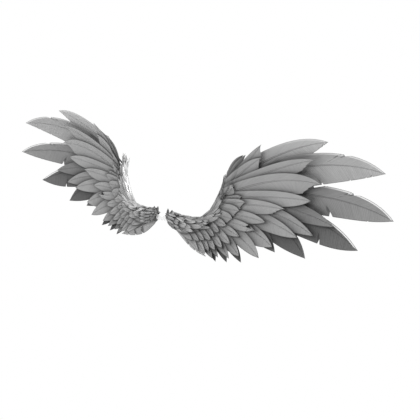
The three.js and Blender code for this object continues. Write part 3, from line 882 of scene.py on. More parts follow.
def draw_barbs(tree, given, along, off, tone):
    """The streaks, the barb lines, and the shade that these and the blotches give."""
    add, calc = helpers_on(tree)
    stretched = add("ShaderNodeCombineXYZ", {
        0: calc("MULTIPLY", along, STREAKS_PER_METRE), 1: calc("MULTIPLY", off, STREAK_STRETCH), 2: tone,
    })
    streak = add("ShaderNodeTexNoise", {"Vector": stretched.outputs[0], "Scale": 1, "Detail": 3})
    streak = calc("SUBTRACT", streak.outputs["Fac"], 0.5)
    place = add("ShaderNodeTexCoord").outputs["Object"]
    blotch = add("ShaderNodeTexNoise", {"Vector": place, "Scale": BLOTCH_SCALE, "Detail": 2})
    blotch = calc("SUBTRACT", blotch.outputs["Fac"], 0.5)
    turns = calc("MULTIPLY", calc("DIVIDE", along, given["Barb Pitch"]), 2 * math.pi)
    barb = calc("SINE", calc("ADD", turns, calc("MULTIPLY", streak, BARB_WOBBLE)))
    shade = calc("MULTIPLY_ADD", streak, given["Streak Contrast"], 1)
    shade = calc("ADD", shade, calc("MULTIPLY", barb, given["Barb Contrast"]))
    return streak, barb, calc("MULTIPLY_ADD", blotch, BLOTCH_CONTRAST, shade)


print("streaks on ten millimetres:", STREAKS_PER_METRE * 10 * MM)

# %% [markdown]
# ## Lines along the shaft and the edge
# A dark line of painted shade runs in the groove beside the shaft, and a thin painted shadow runs along
# the edge, where it stands off the feather behind. The rim inside that gets a painted highlight where its
# value is above nought and painted shade where it is below. The edge lines are measured in millimetres and
# not as shares of the vane, so they are as thin on a wide feather as on a slim one.

# %% Draw the shaft line and the edge lines
LEAST_SHAFT = 0.4 * MM
# The painted shade in the groove beside the shaft, in shaft radii.
GROOVE_AT = 1.1
GROOVE_FADE = (0.7, 0.1)
# Painted bands along the edge, the rim's highlight and shade and the shadow line, by distance from it:
# where each starts to show and where it shows in full.
RIM_FADE = (3.6 * MM, 0.0)
EDGE_SHADOW_FADE = (1.8 * MM, 0.6 * MM)


def fade_between(tree, value, start, full, **settings):
    """A mask that goes from 0 to 1 as a value goes from start to full."""
    return add_node(tree, "ShaderNodeMapRange", {"Value": value, "From Min": start, "From Max": full},
                    **settings).outputs[0]


def draw_shaft(tree, given, shade, away, shaft):
    """The shade with the painted shade in the groove beside the shaft."""
    calc = partial(sum_of, tree)
    from_shaft = calc("DIVIDE", away, calc("MAXIMUM", shaft, LEAST_SHAFT))
    groove = fade_between(tree, calc("ABSOLUTE", calc("SUBTRACT", from_shaft, GROOVE_AT)), *GROOVE_FADE,
                          interpolation_type="SMOOTHSTEP")
    line = calc("SUBTRACT", 1, calc("MULTIPLY", groove, given["Shaft Line"]))
    return calc("MULTIPLY", shade, line)


def draw_edge(tree, given, shade, off, to_edge):
    """The shade with the rim's painted highlight and shade, and the painted shadow along the edge."""
    calc = partial(sum_of, tree)
    rim = fade_between(tree, to_edge, *RIM_FADE, interpolation_type="SMOOTHSTEP")
    above = calc("GREATER_THAN", off, 0)
    below = calc("SUBTRACT", 1, above)
    rim_light_and_shade = calc("ADD", calc("MULTIPLY", above, given["Upper Rim"]),
                    calc("MULTIPLY", below, given["Lower Rim"]))
    shade = calc("MULTIPLY", shade, calc("MULTIPLY_ADD", rim, rim_light_and_shade, 1))
    edge_shadow = calc("MULTIPLY", fade_between(tree, to_edge, *EDGE_SHADOW_FADE), given["Outline"])
    return calc("MULTIPLY", shade, calc("SUBTRACT", 1, edge_shadow))


print("edge line:", round(EDGE_SHADOW_FADE[0] / MM, 1), "mm")

# %% [markdown]
# ## The vane pattern
# All feathers have these markings, so one shader group makes them and each finish gives it its own values.
# The group also paints shade on the tucked parts, and paints a white highlight on the upper edge of a
# long feather, where its thin edge catches the light and the sheet's notes ask for it.

# %% Build the vane pattern
# The painted white highlight on a long feather's upper edge: the bands where it fades, and its white.
WHITE_BAND = ((0.8 * MM, 1.6 * MM), (4.6 * MM, 3.6 * MM))
HIGHLIGHT_WHITE = (0.85, 0.85, 0.85, 1)
LEAST_EDGE = 0.01
ROUGHNESS_SPREAD = 0.3
BARB_HEIGHT = 0.5
STREAK_HEIGHT = 2


def build_vane_pattern():
    """A shader group that paints the markings of a vane."""
    tree, given, made = new_tree(
        "vane_pattern",
        "ShaderNodeTree",
        [
            ("Colour", "NodeSocketColor", None),
            ("Roughness", "NodeSocketFloat", 0.5),
            ("Barb Pitch", "NodeSocketFloat", 1.5 * MM),
            ("Barb Contrast", "NodeSocketFloat", 0.05),
            ("Streak Contrast", "NodeSocketFloat", 0.32),
            ("Shaft Line", "NodeSocketFloat", 0.4),
            # Rim values above nought paint a highlight and values below paint shade; the edge line is a
            # painted shadow.
            ("Upper Rim", "NodeSocketFloat", 0.2),
            ("Lower Rim", "NodeSocketFloat", -0.2),
            ("Outline", "NodeSocketFloat", 0.55),
            ("Tuck Shade", "NodeSocketFloat", 0.75),
        ],
        [("Colour", "NodeSocketColor"), ("Roughness", "NodeSocketFloat"), ("Height", "NodeSocketFloat")],
    )
    add, calc = helpers_on(tree)
    vane = add("ShaderNodeAttribute", attribute_name="vane").outputs["Vector"]
    shaft, tone, tuck, highlight_mask = (add("ShaderNodeAttribute", attribute_name=name).outputs["Fac"]
                               for name in ("shaft", "tone", "tuck", "rim"))
    along, off, edge = add("ShaderNodeSeparateXYZ", {0: vane}).outputs
    away = calc("ABSOLUTE", off)
    to_edge = calc("SUBTRACT", calc("DIVIDE", 1, calc("MAXIMUM", edge, LEAST_EDGE)), 1)
    to_edge = calc("MULTIPLY", to_edge, away)

    streak, barb, shade = draw_barbs(tree, given, along, off, tone)
    shade = draw_shaft(tree, given, shade, away, shaft)
    tucked = calc("SUBTRACT", 1, calc("MULTIPLY", tuck, given["Tuck Shade"]))
    shade = calc("MULTIPLY", shade, tucked)
    shade = draw_edge(tree, given, shade, off, to_edge)
    shade = calc("MULTIPLY", shade, tone)

    tinted = add("ShaderNodeVectorMath", {0: given["Colour"], "Scale": shade}, operation="SCALE")
    for ends in WHITE_BAND:
        highlight_mask = calc("MULTIPLY", highlight_mask, fade_between(tree, to_edge, *ends))
    mixed = add("ShaderNodeMix", {0: highlight_mask, 6: tinted.outputs[0], 7: HIGHLIGHT_WHITE}, data_type="RGBA")
    plug(tree, mixed.outputs[2], made["Colour"])
    plug(tree, calc("MULTIPLY_ADD", streak, ROUGHNESS_SPREAD, given["Roughness"]), made["Roughness"])
    height = calc("MULTIPLY_ADD", barb, BARB_HEIGHT, calc("MULTIPLY", streak, STREAK_HEIGHT))
    plug(tree, height, made["Height"])
    return tree


vane_pattern = build_vane_pattern()
print("vane pattern:", len(vane_pattern.nodes), "nodes")

# %% [markdown]
# ## Three finishes
# Flight feathers are a little rougher, cover feathers are satin, and the small feathers on the arm are
# glossy, because their smooth fronts lie flat and catch the light. Those also have the strongest painted
# shadow along their edges, which keeps the crowded leaves apart, and pale rims as a painted highlight.
# Only the values differ.

# %% Mix the feather finishes
BUMP_DISTANCE = 0.12 * MM
SHEEN_WEIGHT = 0.12
SHEEN_ROUGHNESS = 0.5


def feather_finish(name, grey, roughness, gloss, bump, **pattern):
    """A feather material: the shared pattern with its own values."""
    finish = bpy.data.materials.new(name)
    finish.use_nodes = True
    tree = finish.node_tree
    shader = tree.nodes["Principled BSDF"]
    shader.inputs["Specular IOR Level"].default_value = gloss
    shader.inputs["Sheen Weight"].default_value = SHEEN_WEIGHT
    shader.inputs["Sheen Roughness"].default_value = SHEEN_ROUGHNESS
    group = tree.nodes.new("ShaderNodeGroup")
    group.node_tree = vane_pattern
    values = {"Colour": (grey, grey, grey, 1), "Roughness": roughness, **pattern}
    for label, value in values.items():
        group.inputs[label.replace("_", " ")].default_value = value
    relief = add_node(tree, "ShaderNodeBump", {
        "Height": group.outputs["Height"], "Strength": bump, "Distance": BUMP_DISTANCE,
    })
    plug(tree, group.outputs["Colour"], shader.inputs["Base Color"])
    plug(tree, group.outputs["Roughness"], shader.inputs["Roughness"])
    plug(tree, relief.outputs[0], shader.inputs["Normal"])
    return finish


FINISHES = {
    "flight_feathers": feather_finish("flight_feather", grey=0.355, roughness=0.58, gloss=0.35, bump=0.5,
                                      Barb_Pitch=5.5 * MM, Barb_Contrast=0.1, Shaft_Line=0.7, Outline=0.3),
    "cover_feathers": feather_finish("cover_feather", grey=0.34, roughness=0.5, gloss=0.4, bump=0.5,
                                     Barb_Pitch=4 * MM, Shaft_Line=0.5, Tuck_Shade=0.95),
    # The arm's pale rims are painted highlights, and its strong edge line is painted shadow.
    "arm_feathers": feather_finish("arm_feather", grey=0.34, roughness=0.3, gloss=0.6, bump=0.35,
                                   Shaft_Line=0.15, Upper_Rim=0.3, Lower_Rim=0.3, Outline=0.85,
                                   Tuck_Shade=0.9),
}
print("finishes:", ", ".join(FINISHES))

# %% [markdown]
# ## Make the rows
# Every named solid of a wing now gets its dressed piece. The feather tree could stay on each piece as a
# live modifier, but a plain mesh is safer to export, so the tree's result is kept and the raw sheet is
# removed.

# %% Make every feather piece
SIDES = {"left": 1, "right": -1}


def dress(name, raw_shape, tree, finish):
    """Runs a tree on a mesh or curve and keeps the result as an object with a plain mesh."""
    raw = new_object(name + "_raw", raw_shape)
    modifier = raw.modifiers.new("shape", "NODES")
    modifier.node_group = tree
    modifier[socket_name(tree, "Finish")] = finish
    bpy.context.view_layer.update()
    evaluated = raw.evaluated_get(bpy.context.evaluated_depsgraph_get())
    shaped = bpy.data.meshes.new_from_object(evaluated)
    shaped.name = name
    bpy.data.objects.remove(raw)
    return new_object(name, shaped)


def seat(piece, slot, *nodes):
    """Tells the frame which body a piece rides on and which solids it dresses. Its slot is not used."""
    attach(piece, "root")
    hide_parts(*nodes)
    return piece


def pieces_of(label, group):
    """The names of a group's pieces, each with its sheets."""
    if group["strip"]:
        return {label: group["sheets"]}
    return {f"{label}_{number}": [sheet] for number, sheet in enumerate(group["sheets"], start=1)}


for label, group in GROUPS.items():
    for name, sheets in pieces_of(label, group).items():
        for side, sign in SIDES.items():
            node = f"{side}_{name}"
            vane_mesh = sheet_mesh(node, sheets, sign)
            piece = dress(node + "_vane", vane_mesh, feather_tree, FINISHES[group["slot"]])
            seat(piece, group["slot"], node)

# %% [markdown]
# ## One leaf of the arm
# The arm's small feathers are too many to make one by one, so one leaf is shaped by a formula and then set
# many times over. It is a small grid that widens from the quill, narrows to a point and arches over. The
# feather tree from above gives it its body.

# %% Shape one leaf
LEAF_ROWS = 9
LEAF_COLUMNS = 7
LEAF_RISE = 0.45
LEAF_FALL = 4
LEAF_FULLNESS = 0.68
LEAF_LEAST_HALF = 0.3 * MM
LEAF_SHAFT = 0.9 * MM
LEAF_CAMBER = 1.3 * MM
# Shares of a leaf's length: painted shade up to the first, where other leaves cover it, none from the second.
LEAF_COVERED = 0.3
LEAF_CLEAR = 0.7
NEARLY_NONE = 0.0001
NEARLY_HALF = 0.499


def build_leaf(tree, given):
    """A pointed leaf lying along +X with its quill at the origin."""
    add, calc = helpers_on(tree)
    grid = add("GeometryNodeMeshGrid",
               {"Size X": 1, "Size Y": 1, "Vertices X": LEAF_ROWS, "Vertices Y": LEAF_COLUMNS})
    x, y, _ = add("ShaderNodeSeparateXYZ", {0: add("GeometryNodeInputPosition").outputs[0]}).outputs
    along = calc("ADD", x, 0.5)
    side = calc("MULTIPLY", y, 2)
    rise = calc("POWER", calc("MAXIMUM", along, NEARLY_NONE), LEAF_RISE)
    fall = calc("SUBTRACT", 1, calc("POWER", along, LEAF_FALL))
    half = calc("MULTIPLY", calc("MULTIPLY", rise, fall),
                calc("MULTIPLY", given["Leaf Width"], LEAF_FULLNESS))
    off = calc("MULTIPLY", side, calc("MAXIMUM", half, LEAF_LEAST_HALF))
    length = calc("MULTIPLY", along, given["Leaf Length"])
    across = calc("ABSOLUTE", side)
    end = calc("GREATER_THAN", calc("ABSOLUTE", x), NEARLY_HALF)
    edge = calc("MAXIMUM", across, end)
    drop = calc("MULTIPLY", calc("MULTIPLY", calc("POWER", across, 2), -LEAF_CAMBER), fall)
    place = add("ShaderNodeCombineXYZ", {0: length, 1: off, 2: drop}).outputs[0]
    note = add("ShaderNodeCombineXYZ", {0: length, 1: off, 2: edge}).outputs[0]
    # Painted shade on the part of the leaf that other leaves cover.
    covered = fade_between(tree, along, LEAF_CLEAR, LEAF_COVERED, interpolation_type="SMOOTHSTEP")
    leaf = grid.outputs["Mesh"]
    for label, kind, value in (("vane", "FLOAT_VECTOR", note), ("shaft", "FLOAT", LEAF_SHAFT),
                               ("tuck", "FLOAT", covered)):
        leaf = add("GeometryNodeStoreNamedAttribute", {"Geometry": leaf, "Name": label, "Value": value},
                   data_type=kind).outputs[0]
    shaped = add("GeometryNodeSetPosition", {"Geometry": leaf, "Position": place})
    body = add("GeometryNodeGroup", node_tree=feather_tree)
    values = {"Sheet": shaped.outputs[0], "Vane Thickness": given["Leaf Thickness"],
              "Ridge Height": 0.0, "Finish": given["Finish"]}
    for label, value in values.items():
        plug(tree, value, body.inputs[label])
    return body.outputs[0]


print("points in a leaf:", LEAF_ROWS * LEAF_COLUMNS)

# %% [markdown]
# ## Places for the leaves
# Leaves that repeat along a path and round it are what Geometry Nodes are for. The path is cut into rings,
# and every other ring is turned by half a step, so that the leaves stagger like scales. Each point moves a
# little at random. Those on the side where the feathers' quills go in get no leaf, except at the root.

# %% Find the places for the leaves
RINGS = 16
LEAVES_ROUND = 13


def ring_cage(tree, given):
    """Points in staggered rings round the path, and what each one notes about the path."""
    add, calc = helpers_on(tree)
    rings = add("GeometryNodeResampleCurve", {"Curve": given["Path"], "Count": given["Rings"]}, mode="COUNT")
    odd = calc("MODULO", add("GeometryNodeInputIndex").outputs[0], 2)
    half_step = calc("DIVIDE", math.pi, given["Leaves Round"])
    tilted = add("GeometryNodeSetCurveTilt",
                 {"Curve": rings.outputs[0], "Tilt": calc("MULTIPLY", odd, half_step)})
    noted = add("GeometryNodeCaptureAttribute", {0: tilted.outputs[0]})
    for kind, label, source in (("VECTOR", "Heading", "GeometryNodeInputTangent"),
                                ("VECTOR", "Centre", "GeometryNodeInputPosition"),
                                ("FLOAT", "Radius", "GeometryNodeInputRadius"),
                                ("FLOAT", "Place", "GeometryNodeSplineParameter")):
        noted.capture_items.new(kind, label)
        plug(tree, add(source).outputs[0], noted.inputs[label])
    circle = add("GeometryNodeCurvePrimitiveCircle", {"Resolution": given["Leaves Round"], "Radius": 1})
    cage = add("GeometryNodeCurveToMesh", {
        "Curve": noted.outputs[0], "Profile Curve": circle.outputs[0], "Scale": noted.outputs["Radius"],
    })
    return cage.outputs[0], noted.outputs


def random_between(tree, given, low, high, salt):
    """A different number for each leaf, always the same for the same seed."""
    seed = sum_of(tree, "ADD", given["Seed"], salt)
    node = add_node(tree, "FunctionNodeRandomValue", {2: low, 3: high, "Seed": seed}, data_type="FLOAT")
    return node.outputs[1]


def leaf_points(tree, given, cage, noted):
    """The shuffled points, the way out from the arm at each, and which of them get a leaf."""
    add, calc = helpers_on(tree)
    heading = noted["Heading"]
    back = calc("MULTIPLY", given["Shuffle"], -1)
    slide = random_between(tree, given, back, given["Shuffle"], salt=6)
    slide = add("ShaderNodeVectorMath", {0: heading, "Scale": slide}, operation="SCALE")
    shuffled = add("GeometryNodeSetPosition", {"Geometry": cage, "Offset": slide.outputs[0]})
    here = add("GeometryNodeInputPosition").outputs[0]
    spoke = add("ShaderNodeVectorMath", {0: here, 1: noted["Centre"]}, operation="SUBTRACT").outputs[0]
    lengthwise = add("ShaderNodeVectorMath", {0: spoke, 1: heading}, operation="PROJECT").outputs[0]
    spoke = add("ShaderNodeVectorMath", {0: spoke, 1: lengthwise}, operation="SUBTRACT").outputs[0]
    normal = add("ShaderNodeVectorMath", {0: spoke}, operation="NORMALIZE").outputs[0]
    head_x, _, head_z = add("ShaderNodeSeparateXYZ", {0: heading}).outputs
    outward = add("ShaderNodeCombineXYZ", {0: head_z, 2: calc("MULTIPLY", head_x, -1)}).outputs[0]
    facing = add("ShaderNodeVectorMath", {0: normal, 1: outward}, operation="DOT_PRODUCT").outputs["Value"]
    clear = calc("LESS_THAN", facing, given["Quill Side"])
    near_root = calc("LESS_THAN", noted["Place"], given["Bare From"])
    return shuffled.outputs[0], normal, calc("MAXIMUM", clear, near_root)


print("places round the arm:", RINGS * LEAVES_ROUND)

# %% [markdown]
# ## How the leaves lie
# Each leaf lies along the arm with its tip lifted a little. Towards the hand the leaves grow longer and
# lean less to either side. Angles and sizes are drawn at random for each leaf, because a real maker does
# not place two alike, and each draw has its own salt, so that they do not move together.

# %% Turn and size the leaves
SMALL_UNTIL = 0.14
LONG_FROM = 0.36
LEAF_ROLL = 0.3
LEAF_YAW = 0.14
LEAF_SIZES = (0.88, 1.14)
SIZE_POWER = 0.75


def along_arm(tree, noted, hand_value):
    """A value that is 1 at the root and goes to another towards the hand."""
    return add_node(tree, "ShaderNodeMapRange", {
        "Value": noted["Place"], "From Min": SMALL_UNTIL, "From Max": LONG_FROM,
        "To Min": 1, "To Max": hand_value,
    }).outputs[0]


def leaf_turn(tree, given, noted, normal, loose):
    """How each leaf is turned: along the arm, lifted at its tip and leaning a little."""
    add, calc = helpers_on(tree)
    lying = add("FunctionNodeAxesToRotation", {0: normal, 1: noted["Heading"]},
                primary_axis="Z", secondary_axis="X")
    spread = given["Lift Spread"]
    change = random_between(tree, given, calc("MULTIPLY", spread, -1), spread, salt=1)
    lift = calc("ADD", given["Lift"], change)
    lean = add("ShaderNodeCombineXYZ", {
        0: calc("MULTIPLY", loose, random_between(tree, given, -LEAF_ROLL, LEAF_ROLL, salt=2)),
        1: calc("MULTIPLY", lift, -1),
        2: calc("MULTIPLY", loose, random_between(tree, given, -LEAF_YAW, LEAF_YAW, salt=3)),
    })
    return add("FunctionNodeRotateRotation", {0: lying.outputs[0], 1: lean.outputs[0]},
               rotation_space="LOCAL").outputs[0]


def leaf_scale(tree, given, noted):
    """How large each leaf is: smaller where the arm is thin, and longer towards the hand."""
    add, calc = helpers_on(tree)
    size = calc("POWER", calc("DIVIDE", noted["Radius"], given["Full Radius"]), SIZE_POWER)
    size = calc("MULTIPLY", size, random_between(tree, given, *LEAF_SIZES, salt=4))
    grown = calc("MULTIPLY", size, along_arm(tree, noted, given["Growth"]))
    return add("ShaderNodeCombineXYZ", {0: grown, 1: size, 2: size}).outputs[0]


print("leaf sizes:", "from {} to {}".format(*LEAF_SIZES))

# %% [markdown]
# ## The clothed arm
# The arm tree puts these steps together: it sets a leaf at each place, gives each its own tone, and makes
# the painted shade between the leaves weaker towards the hand. A plain core fills the arm, so that no light
# shows between the leaves, and its dark tone is painted shade for the gaps between them.

# %% Build the arm tree
LEAF_TONES = (0.82, 1.15)
CORE_SIDES = 24
# The core's dark tone is painted shade in the gaps between the leaves.
CORE_TONE = 0.35


def arm_core(tree, given):
    """The body under the leaves, dark as painted shade for the gaps between them."""
    rod = add_node(tree, "GeometryNodeCurvePrimitiveCircle", {"Resolution": CORE_SIDES, "Radius": 1})
    core = add_node(tree, "GeometryNodeCurveToMesh", {
        "Curve": given["Path"], "Profile Curve": rod.outputs[0], "Fill Caps": True,
        "Scale": add_node(tree, "GeometryNodeInputRadius").outputs[0],
    })
    return add_node(tree, "GeometryNodeStoreNamedAttribute",
                    {"Geometry": core.outputs[0], "Name": "tone", "Value": CORE_TONE},
                    data_type="FLOAT").outputs[0]


def build_arm_tree():
    """A tree that clothes a path in leaves, and fills it with a core."""
    tree, given, made = new_tree(
        "clothed_arm",
        "GeometryNodeTree",
        [
            ("Path", "NodeSocketGeometry", None),
            ("Rings", "NodeSocketInt", RINGS),
            ("Leaves Round", "NodeSocketInt", LEAVES_ROUND),
            ("Leaf Length", "NodeSocketFloat", 38 * MM),
            ("Leaf Width", "NodeSocketFloat", 14 * MM),
            ("Leaf Thickness", "NodeSocketFloat", 1.6 * MM),
            ("Lift", "NodeSocketFloat", 0.07),
            ("Lift Spread", "NodeSocketFloat", 0.03),
            ("Shuffle", "NodeSocketFloat", 7 * MM),
            ("Growth", "NodeSocketFloat", 1.8),
            ("Least Gap", "NodeSocketFloat", 0.45),
            ("Quill Side", "NodeSocketFloat", 0.4),
            ("Bare From", "NodeSocketFloat", 0.1),
            ("Full Radius", "NodeSocketFloat", 20 * MM),
            ("Seed", "NodeSocketInt", 7),
            ("Finish", "NodeSocketMaterial", None),
        ],
        [("Arm", "NodeSocketGeometry")],
    )
    add, calc = helpers_on(tree)
    cage, noted = ring_cage(tree, given)
    points, normal, wanted = leaf_points(tree, given, cage, noted)
    loose = along_arm(tree, noted, given["Least Gap"])
    leaves = add("GeometryNodeInstanceOnPoints", {
        "Points": points, "Selection": wanted, "Instance": build_leaf(tree, given),
        "Rotation": leaf_turn(tree, given, noted, normal, loose), "Scale": leaf_scale(tree, given, noted),
    }).outputs[0]
    tone = random_between(tree, given, *LEAF_TONES, salt=5)
    for label, value in (("tone", tone), ("gap", loose)):
        leaves = add("GeometryNodeStoreNamedAttribute", {"Geometry": leaves, "Name": label, "Value": value},
                     data_type="FLOAT", domain="INSTANCE").outputs[0]
    both = add("GeometryNodeJoinGeometry")
    for part in (arm_core(tree, given), leaves):
        tree.links.new(part, both.inputs[0])
    real = add("GeometryNodeRealizeInstances", {0: both.outputs[0]})
    notes = [add("GeometryNodeInputNamedAttribute", {"Name": name}, data_type="FLOAT").outputs[0]
             for name in ("tuck", "gap")]
    shaded = add("GeometryNodeStoreNamedAttribute", {
        "Geometry": real.outputs[0], "Name": "tuck", "Value": calc("MULTIPLY", *notes),
    }, data_type="FLOAT")
    finished = add("GeometryNodeSetMaterial", {"Geometry": shaded.outputs[0], "Material": given["Finish"]})
    plug(tree, finished.outputs[0], made[0])
    return tree


arm_tree = build_arm_tree()
print("arm tree:", len(arm_tree.nodes), "nodes")

# %% [markdown]
# The path is a plain curve through the sleeve's stations, with a low dome at the root end. Each point
# carries the sleeve's radius, which the tree uses for the thickness and for the size of the leaves. The
# other arm is the mirror of the first, so only one is made here.

# %% Clothe the arm
PATH_POINTS = 64
DOME_DEPTH = 3
DOME_POINTS = 8
DOME_START = 0.05


def path_curve(name, rows):
    """A plain curve through rows of a centre and a radius."""
    curve = bpy.data.curves.new(name, "CURVE")
    curve.dimensions = "3D"
    spline = curve.splines.new("POLY")
    spline.points.add(len(rows) - 1)
    for point, (centre, radius) in zip(spline.points, rows):
        point.co = (*(centre * MM), 1)
        point.radius = radius * MM
    return curve


def dome_rows(centre, radius):
    """The rounded root end of the arm."""
    return [(centre - (DOME_DEPTH * math.cos(turn), 0, 0), radius * math.sin(turn))
            for turn in np.linspace(DOME_START, math.pi / 2, DOME_POINTS)[:-1]]


sleeve_rows = dome_rows(*sleeve_at(ROOT_START))
sleeve_rows += [sleeve_at(station) for station in np.linspace(ROOT_START, HAND_END, PATH_POINTS)]
sleeve = dress("arm_sleeve", path_curve("arm_path", sleeve_rows), arm_tree, FINISHES["arm_feathers"])
print("sleeve faces:", len(sleeve.data.polygons))

# %% [markdown]
# At the root the leaves turn round and point to the other wing. Three rings of them close over the end to
# a blunt point that sits high and reaches furthest at the top. Three leaves stand up on it as a small crest,
# dark with painted shade because they face away from the light, and two pale ones lie further out. They
# differ too much for one rule, so tables give the rings and the single leaves.

# %% Add the tuft at the root
ROOT_MIDDLE = np.array([0, 3.5, -3])
TUFT_POINT = np.array([0, 1, 5])
TUFT_RINGS = [
    # leaves, x of the quills, x of the tips at the top and below, radius at quills and tips, half width
    (13, 56, 24, 32, 23, 19, 6),
    (12, 46, 15, 27, 22, 14, 6),
    (10, 38, 8, 24, 19, 9, 6),
]
SINGLES = [
    # quill x, y, z, tip x, y, z, half width, turn round the arm in degrees, tone
    # The crest's low tone is painted shade, as it faces away from the light; the last two leaves are pale.
    (19, -6, 8, 18, 4, 31, 6, 90, 0.3),
    (30, -6, 13, 32, 5, 29, 6, 90, 0.3),
    (42, -6, 14, 48, 3, 24, 6, 90, 0.3),
    (58, -14, 19, 88, -14, 9, 4.5, 50, 2.4),
    (84, -10, 20, 110, -6, 14, 4, 40, 2.4),
]
TUFT_CAMBER = 2
TUFT_SPREAD = 1.6
TUFT_TONES = (0.8, 1.3)
TUFT_SEED = 11


def leaf_sheet(quill, tip, half_width, outward, tone):
    """One pointed leaf from its quill to its tip, arched over the side that faces out."""
    lines, shares = np.meshgrid(
        np.linspace(0, 1, LEAF_ROWS), np.linspace(-1, 1, LEAF_COLUMNS), indexing="ij")
    fall = 1 - lines**LEAF_FALL
    width = half_width * np.maximum(lines, SMALL_STEP) ** LEAF_RISE * fall
    off = shares * np.maximum(width, TIP_HALF_WIDTH)
    across = np.cross(tip - quill, outward)
    points = quill + lines[..., None] * (tip - quill) + off[..., None] * across / np.linalg.norm(across)
    edge = np.abs(shares)
    edge[[0, -1], :] = 1
    return {
        "points": points - (TUFT_CAMBER * shares**2 * fall)[..., None] * outward,
        "vane": np.stack([lines * np.linalg.norm(tip - quill) * MM, off * MM, edge], axis=-1),
        "shaft": np.full_like(lines, LEAF_SHAFT),
        "tone": np.full_like(lines, tone),
        # Painted shade on the part of the leaf that other leaves cover.
        "tuck": 1 - smoothstep(LEAF_COVERED, LEAF_CLEAR, lines),
        "rim": np.zeros_like(lines),
    }


def round_arm(turn):
    """The direction out from the arm's centre at a turn from its top towards its front."""
    return np.array([0, -math.sin(turn), math.cos(turn)])


def tuft_sheets():
    """The rings of the tuft and the single leaves."""
    chance = np.random.default_rng(TUFT_SEED)
    sheets = []
    for ring, (count, quill_x, top_x, low_x, quill_radius, tip_radius, half_width) in enumerate(TUFT_RINGS):
        for turn in (np.arange(count) + ring / 2) * 2 * math.pi / count:
            outward = round_arm(turn)
            below = abs(math.sin(turn / 2))
            shift = chance.uniform(-TUFT_SPREAD, TUFT_SPREAD, 2)
            quill = ROOT_MIDDLE + quill_radius * outward + (quill_x, 0, 0)
            tip = TUFT_POINT + (tip_radius + shift[0]) * outward
            tip[0] += top_x + (low_x - top_x) * below + shift[1]
            sheets.append(leaf_sheet(quill, tip, half_width, outward, chance.uniform(*TUFT_TONES)))
    for *ends, half_width, degrees, tone in SINGLES:
        outward = round_arm(math.radians(degrees))
        sheets.append(leaf_sheet(np.array(ends[:3]), np.array(ends[3:]), half_width, outward, tone))
    return sheets


tuft = dress("arm_tuft", sheet_mesh("tuft_leaves", tuft_sheets(), 1), feather_tree, FINISHES["arm_feathers"])
print("tuft faces:", len(tuft.data.polygons))

# %% [markdown]
# The sleeve and its tuft are one piece, so their meshes are joined. The other arm is a mirrored copy. A
# mirror turns a mesh inside out, so the copy's faces are flipped back.

# %% Join and mirror the arm
def join_meshes(name, pieces):
    """One object from several, which are removed."""
    joined = bmesh.new()
    for piece in pieces:
        joined.from_mesh(piece.data)
    mesh = pieces[0].data.copy()
    joined.to_mesh(mesh)
    joined.free()
    for piece in pieces:
        bpy.data.objects.remove(piece)
    mesh.name = name
    return new_object(name, mesh)


def mirrored(piece, name):
    """A copy of a piece on the other side, with its faces turned over to point out."""
    mesh = piece.data.copy()
    mesh.name = name
    mesh.vertices.foreach_set("co", (np.array([v.co for v in mesh.vertices]) * (-1, 1, 1)).ravel())
    mesh.flip_normals()
    return new_object(name, mesh)


left_arm = join_meshes("left_arm_leaves", [sleeve, tuft])
right_arm = mirrored(left_arm, "right_arm_leaves")
for side, arm in (("left", left_arm), ("right", right_arm)):
    seat(arm, "arm_feathers", f"{side}_arm")
print("arm faces:", len(left_arm.data.polygons))

# %% [markdown]
# ## The back bar
# One plain flat bar holds the two roots apart. It is a box with softened edges, in matt white plastic
# with the faint mottling that moulded plastic has.

# %% Make the bar
BAR_ROUNDING = 0.8 * MM
BAR_SEGMENTS = 3
MOTTLE_SCALE = 300
BAR_ROUGHNESS = (0.4, 0.55)
BAR_WHITES = ((0.86, 0.86, 0.86, 1), (0.92, 0.92, 0.92, 1))


def plastic_finish():
    """Matt white plastic with a faint mottling."""
    finish = bpy.data.materials.new("bar_plastic")
    finish.use_nodes = True
    tree = finish.node_tree
    shader = tree.nodes["Principled BSDF"]
    place = add_node(tree, "ShaderNodeTexCoord")
    mottle = add_node(tree, "ShaderNodeTexNoise", {"Vector": place.outputs["Object"], "Scale": MOTTLE_SCALE})
    mottle = mottle.outputs["Fac"]
    rough = add_node(tree, "ShaderNodeMapRange",
                     {"Value": mottle, "To Min": BAR_ROUGHNESS[0], "To Max": BAR_ROUGHNESS[1]})
    tint = add_node(tree, "ShaderNodeMix", {0: mottle, 6: BAR_WHITES[0], 7: BAR_WHITES[1]}, data_type="RGBA")
    plug(tree, tint.outputs[2], shader.inputs["Base Color"])
    plug(tree, rough.outputs[0], shader.inputs["Roughness"])
    return finish


def make_bar():
    """A box of the solid bar's size with softened edges."""
    low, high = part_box("back_bar")
    shape = bmesh.new()
    bmesh.ops.create_cube(shape, size=1)
    for corner in shape.verts:
        corner.co = [(low[i] + high[i]) / 2 + corner.co[i] * (high[i] - low[i]) for i in range(3)]
    bmesh.ops.bevel(shape, geom=shape.edges[:], offset=BAR_ROUNDING, segments=BAR_SEGMENTS, profile=0.5,
                    affect="EDGES")
    mesh = bpy.data.meshes.new("back_bar_plate")
    shape.to_mesh(mesh)
    shape.free()
    mesh.materials.append(plastic_finish())
    mesh.shade_smooth()
    return new_object("back_bar_plate", mesh)


bar = seat(make_bar(), "bar", "back_bar")
print("bar:", tuple(round(side / MM, 1) for side in bar.dimensions), "mm")

# %% [markdown]
# ## Floor and light
# The picture has a plain white ground with no shadow on it, and a soft light from the front and above.
# The floor and the world look white to the camera but throw back little light, so that the feathers keep
# their own shading. A large soft lamp in front does most of the work, and one from the wearer's left
# rear draws the bright streaks on the arms.

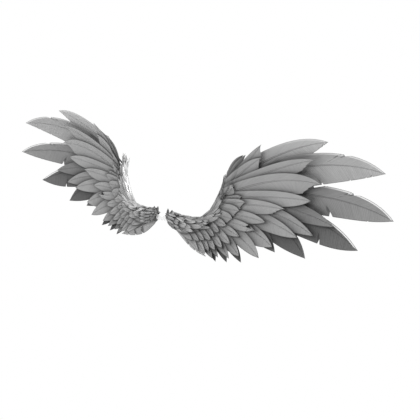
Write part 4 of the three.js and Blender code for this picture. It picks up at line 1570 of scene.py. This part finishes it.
# %% Set the floor and the lamps
FLOOR_DEPTH = 0.5
FLOOR_SIZE = 60
FLOOR_GREY = (0.5, 0.5, 0.5, 1)
WHITE = (1, 1, 1, 1)
AMBIENT = 0.43
LAMPS = {
    # name: (place, size in metres, power in watts)
    "front_lamp": ((-0.9, -2.4, 2.2), 2.2, 71),
    "rear_lamp": ((5.7, 2.4, 4.2), 2.7, 1350),
}
LAMP_TARGET = Vector((0, 0.03, 0.08))


def white_to_camera(tree, white_kind, other, output):
    """White where the camera sees it directly, and another shader for all other light."""
    ray = add_node(tree, "ShaderNodeLightPath").outputs["Is Camera Ray"]
    white = add_node(tree, white_kind, {"Color": WHITE})
    mixed = add_node(tree, "ShaderNodeMixShader", {0: ray, 1: other, 2: white.outputs[0]})
    plug(tree, mixed.outputs[0], output.inputs["Surface"])


def make_floor():
    """A large pale floor well below the wings."""
    mesh = bpy.data.meshes.new("floor")
    half = FLOOR_SIZE / 2
    corners = [(-half, -half), (half, -half), (half, half), (-half, half)]
    mesh.from_pydata([(x, y, -FLOOR_DEPTH) for x, y in corners], [], [(0, 1, 2, 3)])
    finish = bpy.data.materials.new("pale_floor")
    finish.use_nodes = True
    tree = finish.node_tree
    tree.nodes.remove(tree.nodes["Principled BSDF"])
    matt = add_node(tree, "ShaderNodeBsdfDiffuse", {"Color": FLOOR_GREY})
    white_to_camera(tree, "ShaderNodeEmission", matt.outputs[0], tree.nodes["Material Output"])
    mesh.materials.append(finish)
    floor = new_object("floor", mesh)


def make_lights():
    """The white room and its lamps."""
    world = bpy.data.worlds.new("white_room")
    world.use_nodes = True
    tree = world.node_tree
    soft = tree.nodes["Background"]
    soft.inputs["Strength"].default_value = AMBIENT
    soft.inputs["Color"].default_value = WHITE
    white_to_camera(tree, "ShaderNodeBackground", soft.outputs[0], tree.nodes["World Output"])
    bpy.context.scene.world = world
    for name, (place, size, power) in LAMPS.items():
        lamp = bpy.data.lights.new(name, "AREA")
        lamp.energy = power
        lamp.size = size
        stand = bpy.data.objects.new(name, lamp)
        stand.location = place
        stand.rotation_euler = (LAMP_TARGET - stand.location).to_track_quat("-Z", "Y").to_euler()
        bpy.context.scene.collection.objects.link(stand)


make_floor()
make_lights()
bpy.context.scene.view_settings.view_transform = "Standard"
print("lamps:", ", ".join(LAMPS))

# %% [markdown]
# ## Last update
# The scene is brought up to date. The dressed wings may stand only a little proud of the
# solids.

# %% Update the scene
bpy.context.view_layer.update()
